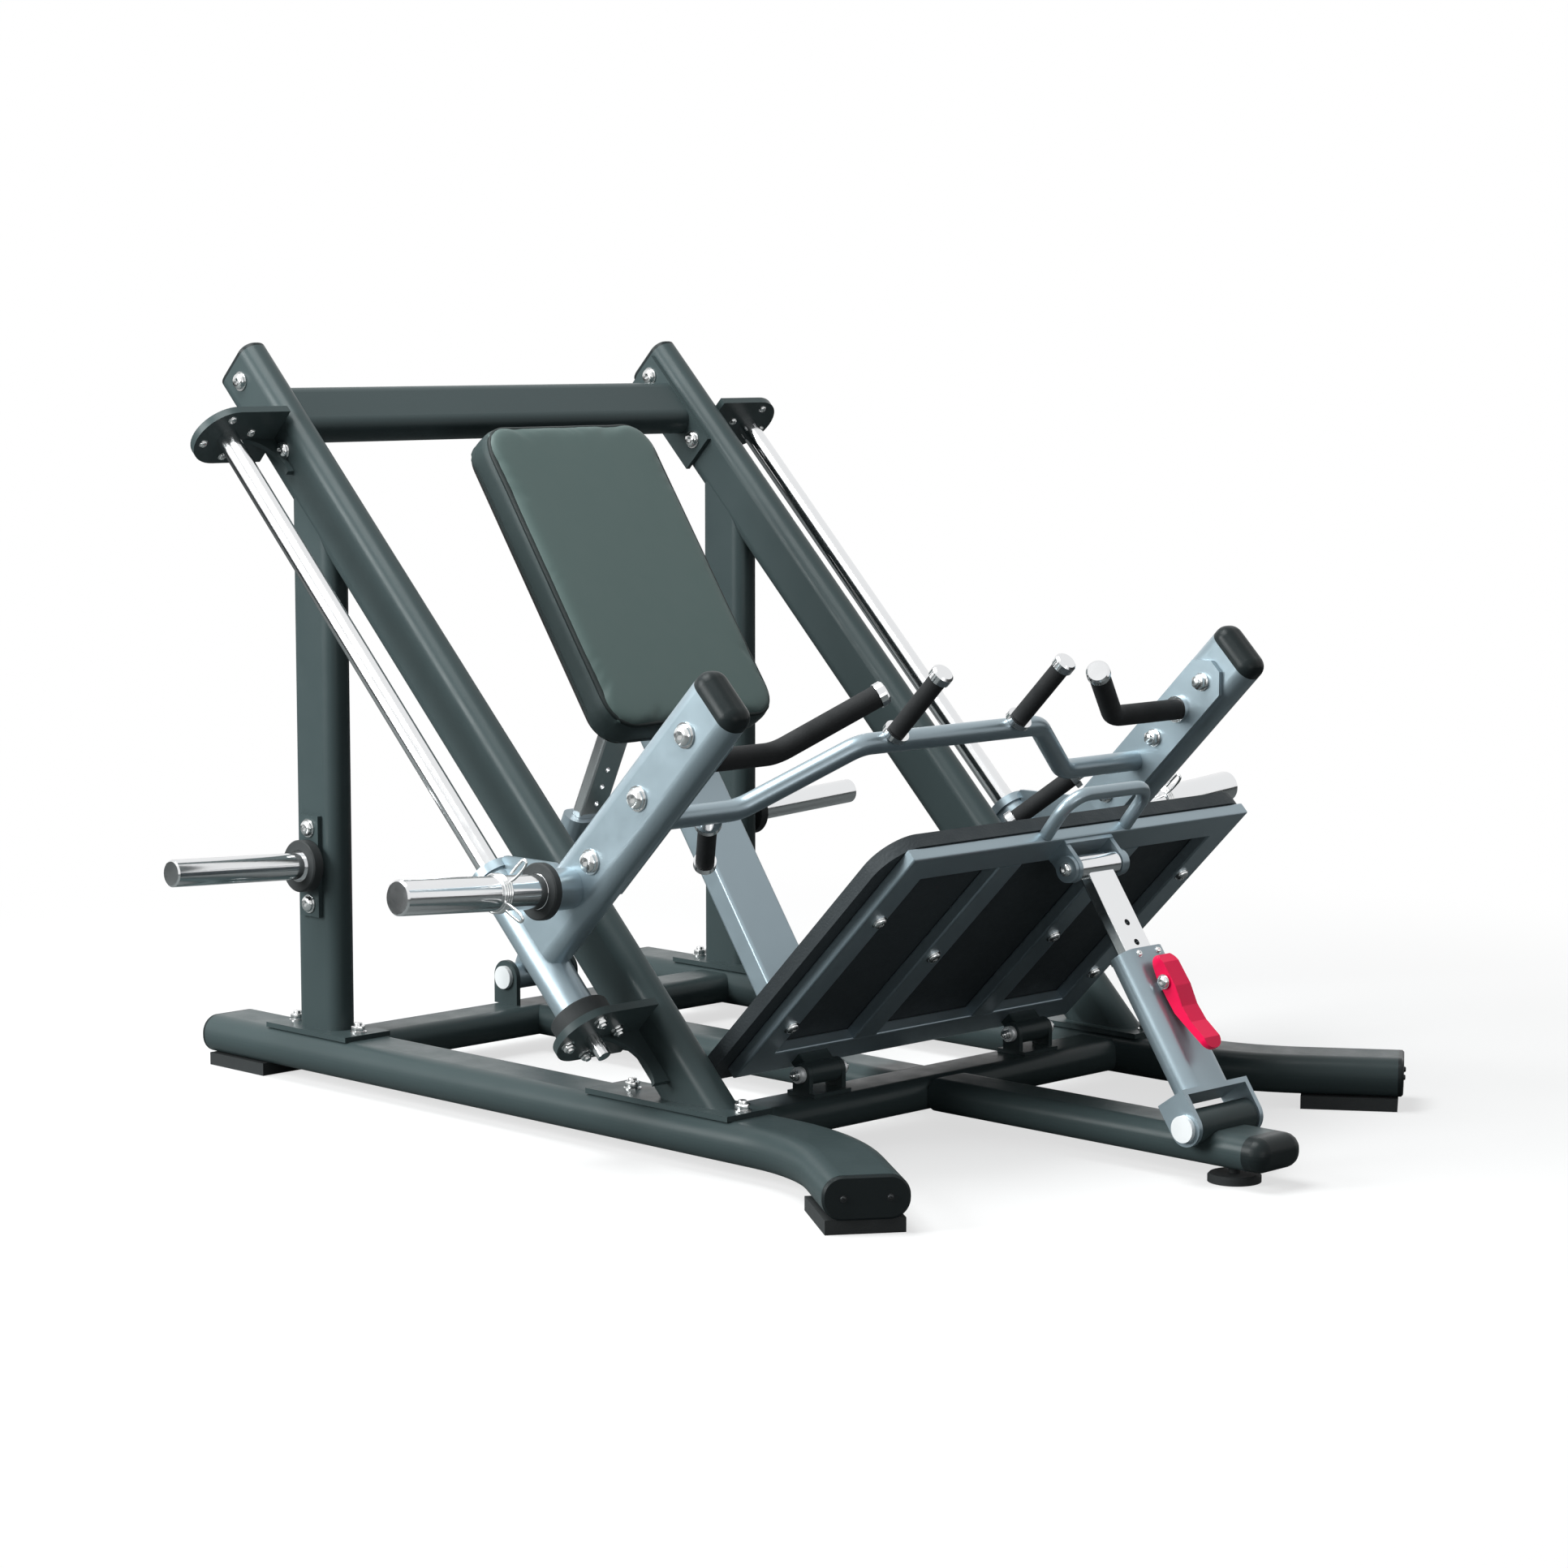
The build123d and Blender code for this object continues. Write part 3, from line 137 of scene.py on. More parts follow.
tree.links.new(path.outputs["Is Camera Ray"], shown.inputs[1])
tree.links.new(shown.outputs[0], blend.inputs["Fac"])
tree.links.new(paint.outputs[0], blend.inputs[1])
tree.links.new(glow.outputs[0], blend.inputs[2])
tree.links.new(blend.outputs[0], out.inputs["Surface"])
floor.data.materials.append(pale)
bpy.ops.object.select_all(action="DESELECT")

# ------------------------------------------------------------------ welded frame
# Flat-oval steel tube, cut and welded, then powder coated a satin black-green. The coat has a
# fine orange-peel grain and slightly uneven sheen where it has been handled.


def coat_group():
    """Sprayed or moulded finish: slow tone change, fine grain and uneven sheen."""
    group = bpy.data.node_groups.new("sprayed_coat", "ShaderNodeTree")
    for name, kind, value in (
        ("Colour", "NodeSocketColor", (0.05, 0.06, 0.06, 1)),
        ("Tone Change", "NodeSocketFloat", 0.12),
        ("Grain Size", "NodeSocketFloat", 900.0),
        ("Grain Depth", "NodeSocketFloat", 0.1),
        ("Sheen Low", "NodeSocketFloat", 0.35),
        ("Sheen High", "NodeSocketFloat", 0.5),
    ):
        socket = group.interface.new_socket(name=name, in_out="INPUT", socket_type=kind)
        socket.default_value = value
    group.interface.new_socket(name="Colour", in_out="OUTPUT", socket_type="NodeSocketColor")
    group.interface.new_socket(name="Roughness", in_out="OUTPUT", socket_type="NodeSocketFloat")
    group.interface.new_socket(name="Normal", in_out="OUTPUT", socket_type="NodeSocketVector")
    n, link = group.nodes, group.links
    given = n.new("NodeGroupInput")
    made = n.new("NodeGroupOutput")
    place = n.new("ShaderNodeTexCoord")
    slow = n.new("ShaderNodeTexNoise")
    slow.inputs["Scale"].default_value = 5.0
    slow.inputs["Detail"].default_value = 4.0
    link.new(place.outputs["Object"], slow.inputs["Vector"])
    centred = n.new("ShaderNodeMath")
    centred.operation = "SUBTRACT"
    centred.inputs[1].default_value = 0.5
    link.new(slow.outputs["Fac"], centred.inputs[0])
    swing = n.new("ShaderNodeMath")
    swing.operation = "MULTIPLY_ADD"
    swing.inputs[2].default_value = 1.0
    link.new(centred.outputs[0], swing.inputs[0])
    link.new(given.outputs["Tone Change"], swing.inputs[1])
    tone = n.new("ShaderNodeVectorMath")
    tone.operation = "SCALE"
    link.new(given.outputs["Colour"], tone.inputs[0])
    link.new(swing.outputs[0], tone.inputs["Scale"])
    link.new(tone.outputs["Vector"], made.inputs["Colour"])
    smudge = n.new("ShaderNodeTexNoise")
    smudge.inputs["Scale"].default_value = 22.0
    smudge.inputs["Detail"].default_value = 6.0
    smudge.inputs["Roughness"].default_value = 0.6
    link.new(place.outputs["Object"], smudge.inputs["Vector"])
    sheen = n.new("ShaderNodeMapRange")
    sheen.inputs["From Min"].default_value = 0.3
    sheen.inputs["From Max"].default_value = 0.7
    link.new(smudge.outputs["Fac"], sheen.inputs["Value"])
    link.new(given.outputs["Sheen Low"], sheen.inputs["To Min"])
    link.new(given.outputs["Sheen High"], sheen.inputs["To Max"])
    link.new(sheen.outputs["Result"], made.inputs["Roughness"])
    grain = n.new("ShaderNodeTexNoise")
    grain.inputs["Detail"].default_value = 2.0
    link.new(place.outputs["Object"], grain.inputs["Vector"])
    link.new(given.outputs["Grain Size"], grain.inputs["Scale"])
    bump = n.new("ShaderNodeBump")
    bump.inputs["Distance"].default_value = 0.0006
    link.new(given.outputs["Grain Depth"], bump.inputs["Strength"])
    link.new(grain.outputs["Fac"], bump.inputs["Height"])
    link.new(bump.outputs["Normal"], made.inputs["Normal"])
    return group


sprayed = coat_group()


def coated(name, colour, metallic=0.0, specular=0.5, tone=0.12, grain=900.0, depth=0.1,
           sheen=(0.35, 0.5), coat=0.0):
    """Material that sends its colour, grain and sheen through the shared finish."""
    material = bpy.data.materials.new(name)
    material.use_nodes = True
    tree = material.node_tree
    shader = tree.nodes["Principled BSDF"]
    finish = tree.nodes.new("ShaderNodeGroup")
    finish.node_tree = sprayed
    finish.inputs["Colour"].default_value = (*colour, 1)
    finish.inputs["Tone Change"].default_value = tone
    finish.inputs["Grain Size"].default_value = grain
    finish.inputs["Grain Depth"].default_value = depth
    finish.inputs["Sheen Low"].default_value = sheen[0]
    finish.inputs["Sheen High"].default_value = sheen[1]
    tree.links.new(finish.outputs["Colour"], shader.inputs["Base Color"])
    tree.links.new(finish.outputs["Roughness"], shader.inputs["Roughness"])
    tree.links.new(finish.outputs["Normal"], shader.inputs["Normal"])
    shader.inputs["Metallic"].default_value = metallic
    shader.inputs["Specular IOR Level"].default_value = specular
    shader.inputs["Coat Weight"].default_value = coat
    shader.inputs["Coat Roughness"].default_value = 0.15
    return material


def finish_nodes(material, *names):
    """Put one material on every slot of the named CAD pieces."""
    for name in names:
        for place in nodes[name].material_slots:
            place.material = material


frame_coat = coated(
    "black_green_powder_coat", (0.043, 0.060, 0.062), specular=0.14, tone=0.1, depth=0.1,
    sheen=(0.28, 0.4),
)
finish_nodes(
    frame_coat,
    "rail_left", "rail_right", "front_cross_tube", "rear_cross_tube", "centre_tube",
    "front_tube", "post_left", "post_right", "beam_left", "beam_right", "top_cross_beam",
    "rod_top_brackets", "rod_bottom_brackets", "storage_plates", "hinge_brackets",
    "front_pivot_tube", "back_saddle", "rear_clevis", "footplate_barrels",
)

# ------------------------------------------------------------------ moving metalwork
# The carriage, yoke, footplate frame and adjuster tubes are sprayed a metallic grey-blue with
# fine flake under a thin clear coat.
silver_coat = coated(
    "metallic_grey_blue_paint", (0.29, 0.36, 0.40), metallic=0.6, specular=0.4, tone=0.06,
    grain=2600.0, depth=0.06, sheen=(0.3, 0.38), coat=0.1,
)
finish_nodes(
    silver_coat,
    "carriage_left", "carriage_right", "yoke_plates", "cross_bar", "back_beam",
    "footplate_stiles", "footplate_rails", "footplate_loop", "footplate_bracket",
    "footplate_pin", "front_sleeve", "rear_sleeve",
)

# ------------------------------------------------------------------ bright metal
# Guide rods, plate horns, slide bars, handles and grip posts are polished hard chrome with
# faint handling marks. The pivot pins are left satin, as they come off the lathe.
chrome = coated(
    "polished_hard_chrome", (0.78, 0.79, 0.80), metallic=1.0, tone=0.04, grain=300.0,
    depth=0.015, sheen=(0.1, 0.17),
)
finish_nodes(
    chrome,
    "guide_rod_left", "guide_rod_right", "carriage_horns", "storage_horns",
    "back_top_pin", "front_slide_bar", "rear_slide_bar", "front_plunger",
    "rear_plunger", "handles", "grip_posts",
)
turned_steel = coated(
    "satin_turned_steel", (0.88, 0.90, 0.91), metallic=0.45, specular=0.4, tone=0.03,
    grain=600.0, depth=0.03, sheen=(0.4, 0.5),
)
finish_nodes(turned_steel, "pivot_pins")

# ------------------------------------------------------------------ rubber and moulded plastic
# Foot blocks, bumpers and stop discs are moulded black rubber; tube caps are black plastic
# plugs; grips and handles wear sleeves of closed-cell foam.
rubber = coated(
    "moulded_black_rubber", (0.022, 0.025, 0.026), specular=0.3, tone=0.25, grain=700.0,
    depth=0.35, sheen=(0.6, 0.8),
)
finish_nodes(rubber, "foot_blocks", "levelling_foot", "bumpers", "storage_discs", "horn_discs")
cap_plastic = coated(
    "moulded_black_plastic", (0.014, 0.019, 0.020), specular=0.13, tone=0.15, grain=1400.0,
    depth=0.2, sheen=(0.28, 0.38),
)
finish_nodes(cap_plastic, "frame_caps", "arm_caps", "back_beam_cap")
foam = coated(
    "closed_cell_grip_foam", (0.014, 0.015, 0.016), specular=0.25, tone=0.3, grain=500.0,
    depth=0.6, sheen=(0.7, 0.9),
)
finish_nodes(foam, "grip_foams", "handle_foams")

# ------------------------------------------------------------------ tread, board and levers
# The tread is a black board with a coarse non-slip grain, and the pad's board is painted black.
# The release levers are moulded in glossy red plastic.
tread = coated(
    "black_textured_tread", (0.026, 0.033, 0.037), specular=0.3, tone=0.2, grain=260.0,
    depth=0.9, sheen=(0.55, 0.75),
)
finish_nodes(tread, "footplate_slab")
board_paint = coated("black_painted_board", (0.02, 0.02, 0.02), specular=0.3, sheen=(0.5, 0.6))
finish_nodes(board_paint, "pad_board")
lever_red = coated(
    "glossy_red_lever", (0.98, 0.004, 0.085), specular=0.2, tone=0.05, grain=1200.0,
    depth=0.03, sheen=(0.3, 0.4), coat=0.12,
)
finish_nodes(lever_red, "front_lever", "rear_lever")

# ------------------------------------------------------------------ vinyl and small steel
# The pad's face is dark grey vinyl with a fine grain; its side band and piping carry painted shade
# and painted groove shadow as darker vinyl. The cap screws' near-black is painted recess shade.
recess_shade_steel = coated(
    "recess_painted_shade_steel", (0.035, 0.038, 0.040), metallic=0.7, specular=0.3, tone=0.1,
    grain=900.0, depth=0.05, sheen=(0.3, 0.45),
)
vinyl = coated(
    "dark_grey_vinyl", (0.086, 0.124, 0.118), specular=0.2, tone=0.08, grain=1500.0,
    depth=0.35, sheen=(0.38, 0.5),
)
side_shade_vinyl = coated(
    "side_painted_shade_vinyl", (0.036, 0.052, 0.053), specular=0.2, tone=0.08, grain=1500.0,
    depth=0.35, sheen=(0.38, 0.5),
)
seam_shade_vinyl = coated(
    "seam_painted_shade_vinyl", (0.012, 0.018, 0.018), specular=0.2, tone=0.08, grain=1500.0,
    depth=0.35, sheen=(0.4, 0.5),
)
finish_nodes(vinyl, "back_pad")

# ------------------------------------------------------------------ button-head screws
# Zinc-plated steel screws with a round washer, a domed head and a hexagon socket hold the
# plates, beams and arms together. Every one is turned to the same shape.
across = Vector((1, 0, 0))


def screw_pattern():
    """Screw of 20 mm head standing on the origin, drawn up from its washer."""
    bpy.ops.object.select_all(action="DESELECT")
    bpy.ops.mesh.primitive_circle_add(vertices=24, radius=0.0118, fill_type="NGON")
    bpy.ops.object.mode_set(mode="EDIT")
    bpy.ops.mesh.select_all(action="SELECT")
    steps = ((0.0016, 1.0), (0.0, 0.84), (0.0022, 1.0), (0.0016, 0.93), (0.0013, 0.84), (0.0007, 0.72))
    for rise, shrink in steps:
        bpy.ops.mesh.extrude_region_move(TRANSFORM_OT_translate={"value": (0, 0, rise)})
        bpy.ops.transform.resize(value=(shrink, shrink, 1))
    bpy.ops.mesh.extrude_region_move(TRANSFORM_OT_translate={"value": (0, 0, 0)})
    bpy.ops.transform.resize(value=(0.72, 0.72, 1))
    bpy.ops.object.mode_set(mode="OBJECT")
    pattern = bpy.context.object
    peak = max(v.co.z for v in pattern.data.vertices)
    socket = min(v.co.xy.length for v in pattern.data.vertices) + 1e-5
    for v in pattern.data.vertices:
        if v.co.z > peak - 1e-6 and v.co.xy.length < socket:
            turn = math.atan2(v.co.y, v.co.x) % (math.pi / 3) - math.pi / 6
            v.co.xy = v.co.xy.normalized() * socket * 0.88 / math.cos(turn)
    bpy.ops.object.mode_set(mode="EDIT")
    bpy.ops.mesh.extrude_region_move(TRANSFORM_OT_translate={"value": (0, 0, -0.0032)})
    bpy.ops.mesh.select_all(action="SELECT")
    bpy.ops.mesh.normals_make_consistent(inside=False)
    bpy.ops.object.mode_set(mode="OBJECT")
    bpy.ops.object.shade_smooth_by_angle(angle=math.radians(34))
    return pattern


bright = coated(
    "bright_zinc_plate", (0.74, 0.75, 0.75), metallic=1.0, tone=0.06, grain=500.0,
    depth=0.02, sheen=(0.14, 0.24),
)
screw = screw_pattern()
screw.data.materials.append(bright)
threaded = frame["record"]["behaviour"]["joints"]
pivot_of = {joint["name"]: Vector(joint["pos_m"]) for joint in threaded if "pos_m" in joint}
way_of = {joint["name"]: Vector(joint["axis"]) for joint in threaded}


def fasten(pattern, name, body, place, out, size=1.0, dark=False):
    """Copy of a fastener, seated at a place and pointing out of the surface there."""
    piece = bpy.data.objects.new(name, pattern.data.copy())
    # A dark screw takes near-black steel, which is painted shade of a recessed screw hole.
    if dark:
        piece.data.materials[0] = recess_shade_steel
    piece.data.name = name
    scene.collection.objects.link(piece)
    turn = Vector(out).to_track_quat("Z", "Y").to_matrix().to_4x4()
    piece.data.transform(Matrix.Translation(Vector(place)) @ turn @ Matrix.Scale(size, 4))
    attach(piece, body)
    return piece


# The slope of the beams, from the way in which the carriage slides, and the foot of that
# slope at the top of the side rails.
up_slope = way_of["carriage_slide"].normalized()
off_slope = across.cross(up_slope)
beam_foot = Vector((0, -0.209, 0.080))


def on_slope(x, distance, reach=0.0):
    return beam_foot + across * x + up_slope * distance + off_slope * reach


beam_outer, beam_plate_inner = 0.472, 0.414
storage_face, post_y = 0.480, 0.650
arm_outer, arm_root, arm_screws = 0.590, 0.3121, (0.200, 0.3387, 0.4734)
for side, hand in ((-1, "left"), (1, "right")):
    for k, along in enumerate((1.2968, 1.4484)):
        place = on_slope(side * beam_outer, along)
        fasten(screw, f"top_beam_screw_{hand}_{k + 1}", "frame", place, across * side, 1.3)
        place = on_slope(side * beam_plate_inner, along)
        fasten(screw, f"top_plate_screw_{hand}_{k + 1}", "frame", place, -across * side, 1.3)
    for k, z in enumerate((0.288, 0.408)):
        place = (side * storage_face, post_y, z)
        fasten(screw, f"storage_screw_{hand}_{k + 1}", "frame", place, across * side, 1.25)
    for k, reach in enumerate(arm_screws):
        place = on_slope(side * arm_outer, arm_root, reach)
        fasten(screw, f"arm_screw_{hand}_{k + 1}", "carriage", place, across * side, 1.55)

# ------------------------------------------------------------------ hexagon nuts
# Plain plated nuts with a chamfered crown stand on washers, with the end of the thread showing
# in the middle. They close the bottom brackets, arms, foot plates and hinge bolts.


def nut_pattern():
    """Nut standing on the origin, with its washer and the end of its bolt."""
    bpy.ops.object.select_all(action="DESELECT")
    bpy.ops.mesh.primitive_cylinder_add(
        vertices=24, radius=0.0105, depth=0.0016, location=(0, 0, 0.0008)
    )
    washer = bpy.context.object
    bpy.ops.mesh.primitive_cylinder_add(
        vertices=6, radius=0.0092, depth=0.0074, location=(0, 0, 0.0053)
    )
    body = bpy.context.object
    edge = body.modifiers.new("crown", "BEVEL")
    edge.width = 0.0009
    edge.segments = 2
    bpy.ops.object.modifier_apply(modifier="crown")
    bpy.ops.mesh.primitive_cylinder_add(
        vertices=20, radius=0.0050, depth=0.0120, location=(0, 0, 0.0068)
    )
    thread = bpy.context.object
    edge = thread.modifiers.new("lead", "BEVEL")
    edge.width = 0.0008
    edge.segments = 2
    edge.limit_method = "ANGLE"
    bpy.ops.object.modifier_apply(modifier="lead")
    for part in (washer, body, thread):
        part.select_set(True)
    bpy.context.view_layer.objects.active = body
    bpy.ops.object.join()
    pattern = bpy.context.object
    bpy.ops.object.transform_apply(location=True, rotation=True, scale=True)
    bpy.ops.object.shade_smooth_by_angle(angle=math.radians(34))
    return pattern


nut = nut_pattern()
nut.data.materials.append(bright)
plate_circle, rod_x = 0.042, 0.565
arm_inner, rail_x, foot_top = 0.532, 0.447, 0.088
for side, hand in ((-1, "left"), (1, "right")):
    for k in range(4):
        turn = math.radians(15 + 90 * k)
        spread = -side * plate_circle * math.cos(turn)
        lift = plate_circle * math.sin(turn)
        low = on_slope(side * rod_x + spread, 0.1498, lift)
        fasten(nut, f"bottom_bracket_nut_{hand}_{k + 1}", "frame", low, -up_slope)
        high = on_slope(side * rod_x + spread, 1.327, lift)
        fasten(screw, f"top_bracket_screw_{hand}_{k + 1}", "frame", high, -up_slope, 0.62)
    for k, reach in enumerate(arm_screws):
        place = on_slope(side * arm_inner, arm_root, reach)
        fasten(nut, f"arm_nut_{hand}_{k + 1}", "carriage", place, -across * side, 1.35)
    for foot, row in (("beam", (-0.288, -0.060)), ("post", (0.573, 0.727))):
        for k, y in enumerate(row):
            place = (side * rail_x, y, foot_top)
            fasten(nut, f"{foot}_foot_nut_{hand}_{k + 1}", "frame", place, (0, 0, 1), 1.25)
    for k, end in enumerate((-1, 1)):
        place = Vector((side * 0.231 + end * 0.0483, -0.229, 0.107))
        fasten(nut, f"hinge_nut_{hand}_{k + 1}", "frame", place, across * end, 0.8)

# ------------------------------------------------------------------ footplate screws
# Six screws through the flat stiles hold the tread to its frame, and a small one closes each
# end of the pin above them.
plate_tilt = math.radians(44.85)
plate_foot = Vector((0, -0.1902, 0.1092))
plate_up = Vector((0, -math.cos(plate_tilt), math.sin(plate_tilt)))
plate_out = Vector((0, -math.sin(plate_tilt), -math.cos(plate_tilt)))
for side, hand in ((-1, "left"), (1, "right")):
    for k, (x, along) in enumerate(((0.334, 0.117), (0.334, 0.3605), (0.133, 0.2445))):
        place = plate_foot + across * side * x + plate_up * along
        fasten(screw, f"footplate_screw_{hand}_{k + 1}", "footplate", place, plate_out, 1.0)
    place = Vector((side * 0.0593, -0.553, 0.420))
    fasten(screw, f"footplate_pin_screw_{hand}", "footplate", place, across * side, 0.9)

# ------------------------------------------------------------------ lever and bush screws
# Domed screws hold the pins of the red levers, and small ones the guide bushes at the mouths
# of the adjuster tubes.
for end in ("front", "rear"):
    for side, hand in ((-1, "left"), (1, "right")):
        place = pivot_of[f"{end}_lever_pull"] + across * side * 0.0190
        fasten(screw, f"{end}_lever_pull_screw_{hand}", f"{end}_sleeve", place, across * side, 0.9)
for end, mouth in (("front", 0.259), ("rear", 0.297)):
    pivot = pivot_of[f"{end}_sleeve_tilt"]
    along = way_of[f"{end}_bar_slide"]
    face = way_of[f"{end}_plunger_slide"]
    place = pivot + along * mouth + face * 0.0225
    for side, hand in ((-1, "left"), (1, "right")):
        spot = place + across * side * 0.021
        fasten(screw, f"{end}_bush_screw_{hand}", f"{end}_sleeve", spot, face, 0.45)

# ------------------------------------------------------------------ end-cap screws
# Each cap of a side rail is held by two small screws, one each side of its middle. Their near-black steel
# is painted shade that stands in for recessed screw holes.
splay = math.radians(35)
for side, hand in ((-1, "left"), (1, "right")):
    out = Vector((side * math.sin(splay), -math.cos(splay), 0))
    level = Vector((math.cos(splay), side * math.sin(splay), 0))
    front = Vector((side * rail_x, -0.4594, 0.050)) + out * (0.2553 + 0.008)
    rear = Vector((side * rail_x, 0.902, 0.050))
    for k, spread in enumerate((-0.032, 0.032)):
        fasten(screw, f"front_cap_screw_{hand}_{k + 1}", "frame", front + level * spread, out, 0.42, True)
        place = rear + across * spread
        fasten(screw, f"rear_cap_screw_{hand}_{k + 1}", "frame", place, (0, 1, 0), 0.42, True)

# ------------------------------------------------------------------ spring clips
# A coil of plated spring wire grips each plate horn. Both ends of the wire stand out as narrow
# finger loops, which are squeezed together to slide the clip.


def swept(name, points, thick, rounding, closed):
    """Round wire or cord of one thickness along a smooth curve, as a mesh of its own."""
    line = bpy.data.curves.new(name, "CURVE")
    line.dimensions = "3D"
    line.bevel_depth = thick / 2
    line.bevel_resolution = rounding
    line.use_fill_caps = not closed
    run = line.splines.new("NURBS")
    run.points.add(len(points) - 1)
    for spot, place in zip(run.points, points):
        spot.co = (*place, 1)
    run.order_u = 3
    run.use_cyclic_u = closed
    run.use_endpoint_u = not closed
    run.resolution_u = 3
    holder = bpy.data.objects.new(name, line)
    scene.collection.objects.link(holder)
    bpy.context.view_layer.update()
    shaped = holder.evaluated_get(bpy.context.evaluated_depsgraph_get())
    mesh = bpy.data.meshes.new_from_object(shaped)
    bpy.data.objects.remove(holder)
    mesh.name = name
    piece = bpy.data.objects.new(name, mesh)
    scene.collection.objects.link(piece)
    return piece


def wire_piece(name, points, thick):
    """Bent wire with flat ends, smoothed except at the ends' edges."""
    piece = swept(name, points, thick, rounding=4, closed=False)
    bpy.ops.object.select_all(action="DESELECT")
    piece.select_set(True)
    bpy.context.view_layer.objects.active = piece
    bpy.ops.object.shade_smooth_by_angle(angle=math.radians(50))
    return piece


coil_radius = 0.0278
coil_turns = 3
wire = 0.0042
coil_lead, coil_rise = 0.0025, 0.0130
loop_reach = (0.036, 0.062, 0.071, 0.071, 0.062, 0.034)
loop_sway = (0.0065, 0.0065, 0.004, -0.003, -0.0055, -0.004)
for side, hand in ((-1, "left"), (1, "right")):
    outward = way_of[f"clip_{hand}_slide"]
    boss = on_slope(side * 0.636, arm_root + 0.003, 0.138)
    seat = boss + outward * 0.0802
    first = off_slope - outward * outward.dot(off_slope)
    first.normalize()
    second = (-up_slope + outward * outward.dot(up_slope)).normalized()

    def round_horn(turn, reach, along, sway=0.0):
        """Point at a turn, a reach and a step along the horn, swayed sideways."""
        spoke = first * math.cos(turn) + second * math.sin(turn)
        tangent = second * math.cos(turn) - first * math.sin(turn)
        return seat + spoke * reach + tangent * sway + outward * along

    last = math.radians(70)
    points = [round_horn(0, a, 0.002, -b) for a, b in zip(loop_reach, loop_sway)]
    steps = coil_turns * 12
    for k in range(steps + 1):
        turn = (2 * math.pi * coil_turns + last) * k / steps
        points.append(round_horn(turn, coil_radius, coil_lead + coil_rise * k / steps))
    back = list(zip(loop_reach, loop_sway))[::-1]
    points += [round_horn(last, a, 0.016, b) for a, b in back]
    clip = wire_piece(f"spring_clip_{hand}", points, wire)
    clip.data.materials.append(bright)
    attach(clip, f"clip_{hand}")
    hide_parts(f"clip_{hand}")

# ------------------------------------------------------------------ back pad
# Vinyl is stretched over a foam slab and stapled to the board behind it. A piped seam joins the
# crowned face to a side band of darker vinyl, which is painted shade, and a flat stitched one runs
# round the back edge. Both seams are near-black vinyl, as painted shadow in their grooves.
back_tilt = math.radians(55.3)
board_rise = Vector((0, math.cos(back_tilt), math.sin(back_tilt)))
board_face = across.cross(board_rise)
pad_width, pad_height, pad_depth = 0.380, 0.581, 0.0600
pad_corner = 0.056
pad_centre = pivot_of["back_tilt"] + board_rise * 0.7835 + board_face * 0.0218
pad_place = Matrix(
    (
        (across.x, board_rise.x, board_face.x, pad_centre.x),
        (across.y, board_rise.y, board_face.y, pad_centre.y),
        (across.z, board_rise.z, board_face.z, pad_centre.z),
        (0, 0, 0, 1),
    )
)
shrink = 0.004


def pad_blank():
    """Rounded slab of foam, a little smaller than the finished pad."""
    bpy.ops.object.select_all(action="DESELECT")
    bpy.ops.mesh.primitive_plane_add(size=1)
    blank = bpy.context.object
    blank.scale = (pad_width - 2 * shrink, pad_height - 2 * shrink, 1)
    bpy.ops.object.transform_apply(location=False, rotation=False, scale=True)
    bpy.ops.object.mode_set(mode="EDIT")
    bpy.ops.mesh.select_all(action="SELECT")
    bpy.ops.mesh.bevel(offset=pad_corner - shrink, segments=10, affect="VERTICES")
    depth = pad_depth - 1.5 * shrink
    bpy.ops.mesh.extrude_region_move(TRANSFORM_OT_translate={"value": (0, 0, depth)})
    bpy.ops.mesh.bevel(offset=0.012, segments=5, affect="EDGES")
    bpy.ops.mesh.select_all(action="SELECT")
    bpy.ops.mesh.normals_make_consistent(inside=False)
    bpy.ops.object.mode_set(mode="OBJECT")
    return blank


def settled(blank, voxel, pressure, cap):
    """Remesh the blank, let it swell as cloth, and keep each point's move under the cap."""
    remesh = blank.modifiers.new("even", "REMESH")
    remesh.mode = "VOXEL"
    remesh.voxel_size = voxel
    bpy.ops.object.modifier_apply(modifier="even")
    before = [v.co.copy() for v in blank.data.vertices]
    cloth = blank.modifiers.new("vinyl", "CLOTH")
    cloth.settings.use_pressure = True
    cloth.settings.uniform_pressure_force = pressure
    cloth.settings.effector_weights.gravity = 0
    cloth.point_cache.frame_start = 1
    cloth.point_cache.frame_end = 20
    for step in range(1, 21):
        scene.frame_set(step)
    bpy.ops.object.modifier_apply(modifier="vinyl")
    scene.frame_set(1)
    for v, start in zip(blank.data.vertices, before):
        move = v.co - start
        if move.length > cap:
            move = move.normalized() * cap
        v.co = start + move
        v.co.z = max(v.co.z, 0.0)
    return blank


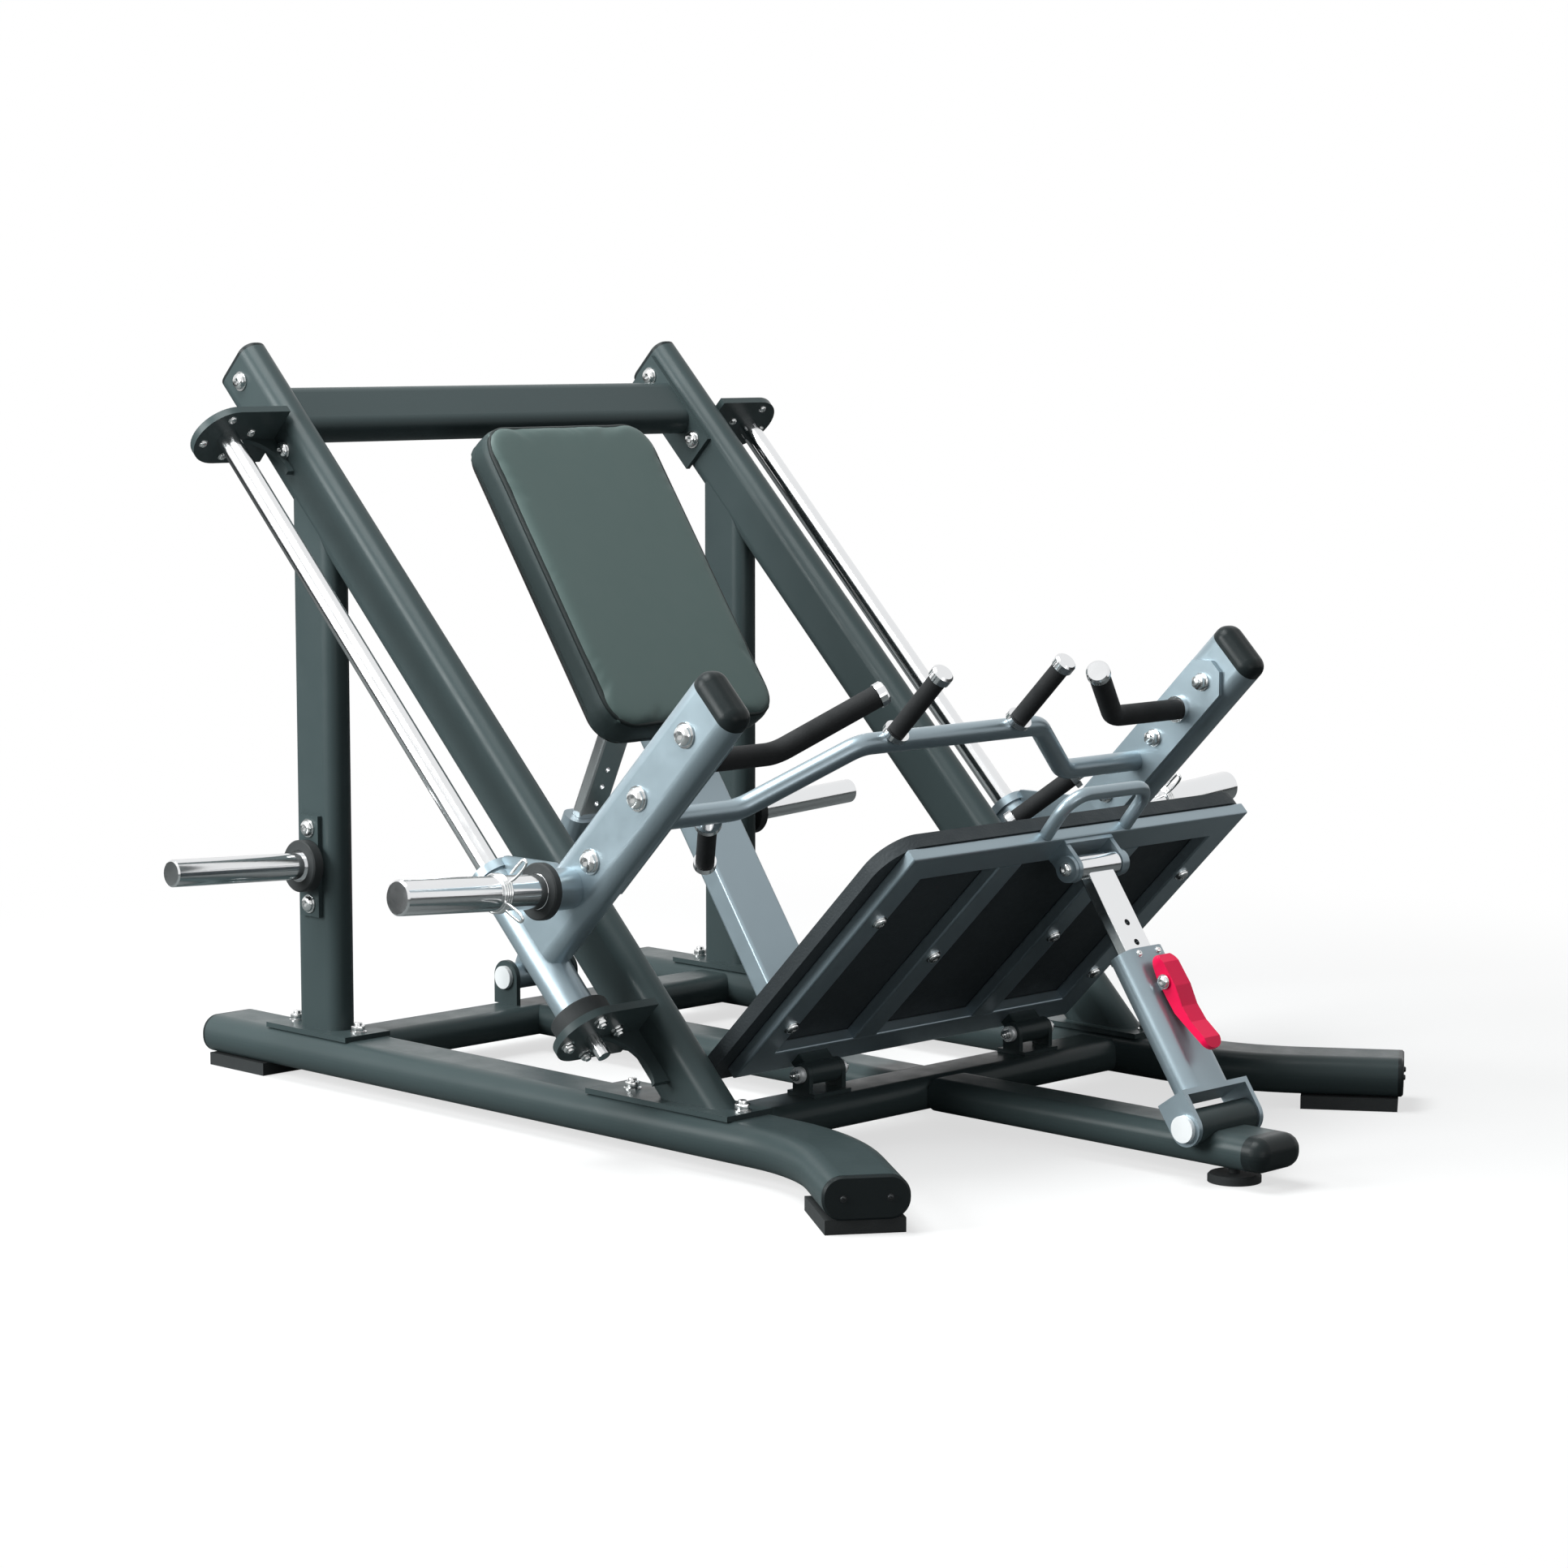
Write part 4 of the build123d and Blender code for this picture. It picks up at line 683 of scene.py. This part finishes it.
pad = settled(pad_blank(), 0.0055, 4.0, 0.005)
pad.name = "vinyl_back_pad"
pad.data.name = "vinyl_back_pad"
seam_height, hem_height, side_zone = 0.0475, 0.010, 0.022
half_w, half_h = pad_width / 2, pad_height / 2
for v in pad.data.vertices:
    inset = min(half_w - abs(v.co.x), half_h - abs(v.co.y))
    if inset < side_zone:
        pull = 0.0022 * math.exp(-(((v.co.z - seam_height) / 0.006) ** 2))
        pull += 0.0010 * math.exp(-(((v.co.z - hem_height) / 0.003) ** 2))
        v.co.x -= math.copysign(pull, v.co.x) * min(1, abs(v.co.x) / half_w)
        v.co.y -= math.copysign(pull, v.co.y) * min(1, abs(v.co.y) / half_h)
smooth = pad.modifiers.new("finer", "SUBSURF")
smooth.levels = 1
smooth.render_levels = 1
bpy.ops.object.select_all(action="DESELECT")
pad.select_set(True)
bpy.context.view_layer.objects.active = pad
bpy.ops.object.modifier_apply(modifier="finer")
bpy.ops.object.shade_smooth()


def round_pad(name, height, thick, proud):
    """Closed line of piping or thread that lies on the pad's side at one height."""
    points = []
    steps, clear_of_pad = 96, 0.6
    for k in range(steps):
        turn = 2 * math.pi * k / steps
        aim = Vector((math.cos(turn) / half_h, math.sin(turn) / half_w, 0)).normalized()
        start = Vector((aim.x * clear_of_pad, aim.y * clear_of_pad, height))
        hit, spot, normal, _ = pad.ray_cast(start, -aim)
        if hit:
            points.append(spot + Vector((normal.x, normal.y, 0)).normalized() * proud)
    piece = swept(name, points, thick, rounding=3, closed=True)
    for face in piece.data.polygons:
        face.use_smooth = True
    return piece


piping = round_pad("pad_piping", seam_height, 0.0100, -0.0030)
hem = round_pad("pad_back_seam", hem_height, 0.0016, 0.0002)
below_seam = [k for k, face in enumerate(pad.data.polygons) if face.center.z < seam_height]
# The piping and the back seam take near-black vinyl, which is painted shadow of their grooves.
for piece, cloth in ((pad, vinyl), (piping, seam_shade_vinyl), (hem, seam_shade_vinyl)):
    piece.data.transform(pad_place)
    piece.data.materials.clear()
    piece.data.materials.append(cloth)
    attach(piece, "backrest")
# Faces below the seam take the darker side vinyl, which is painted shade of the side band.
pad.data.materials.append(side_shade_vinyl)
for k in below_seam:
    pad.data.polygons[k].material_index = 1
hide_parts("back_pad")

for pattern in (screw, nut):
    bpy.data.objects.remove(pattern)
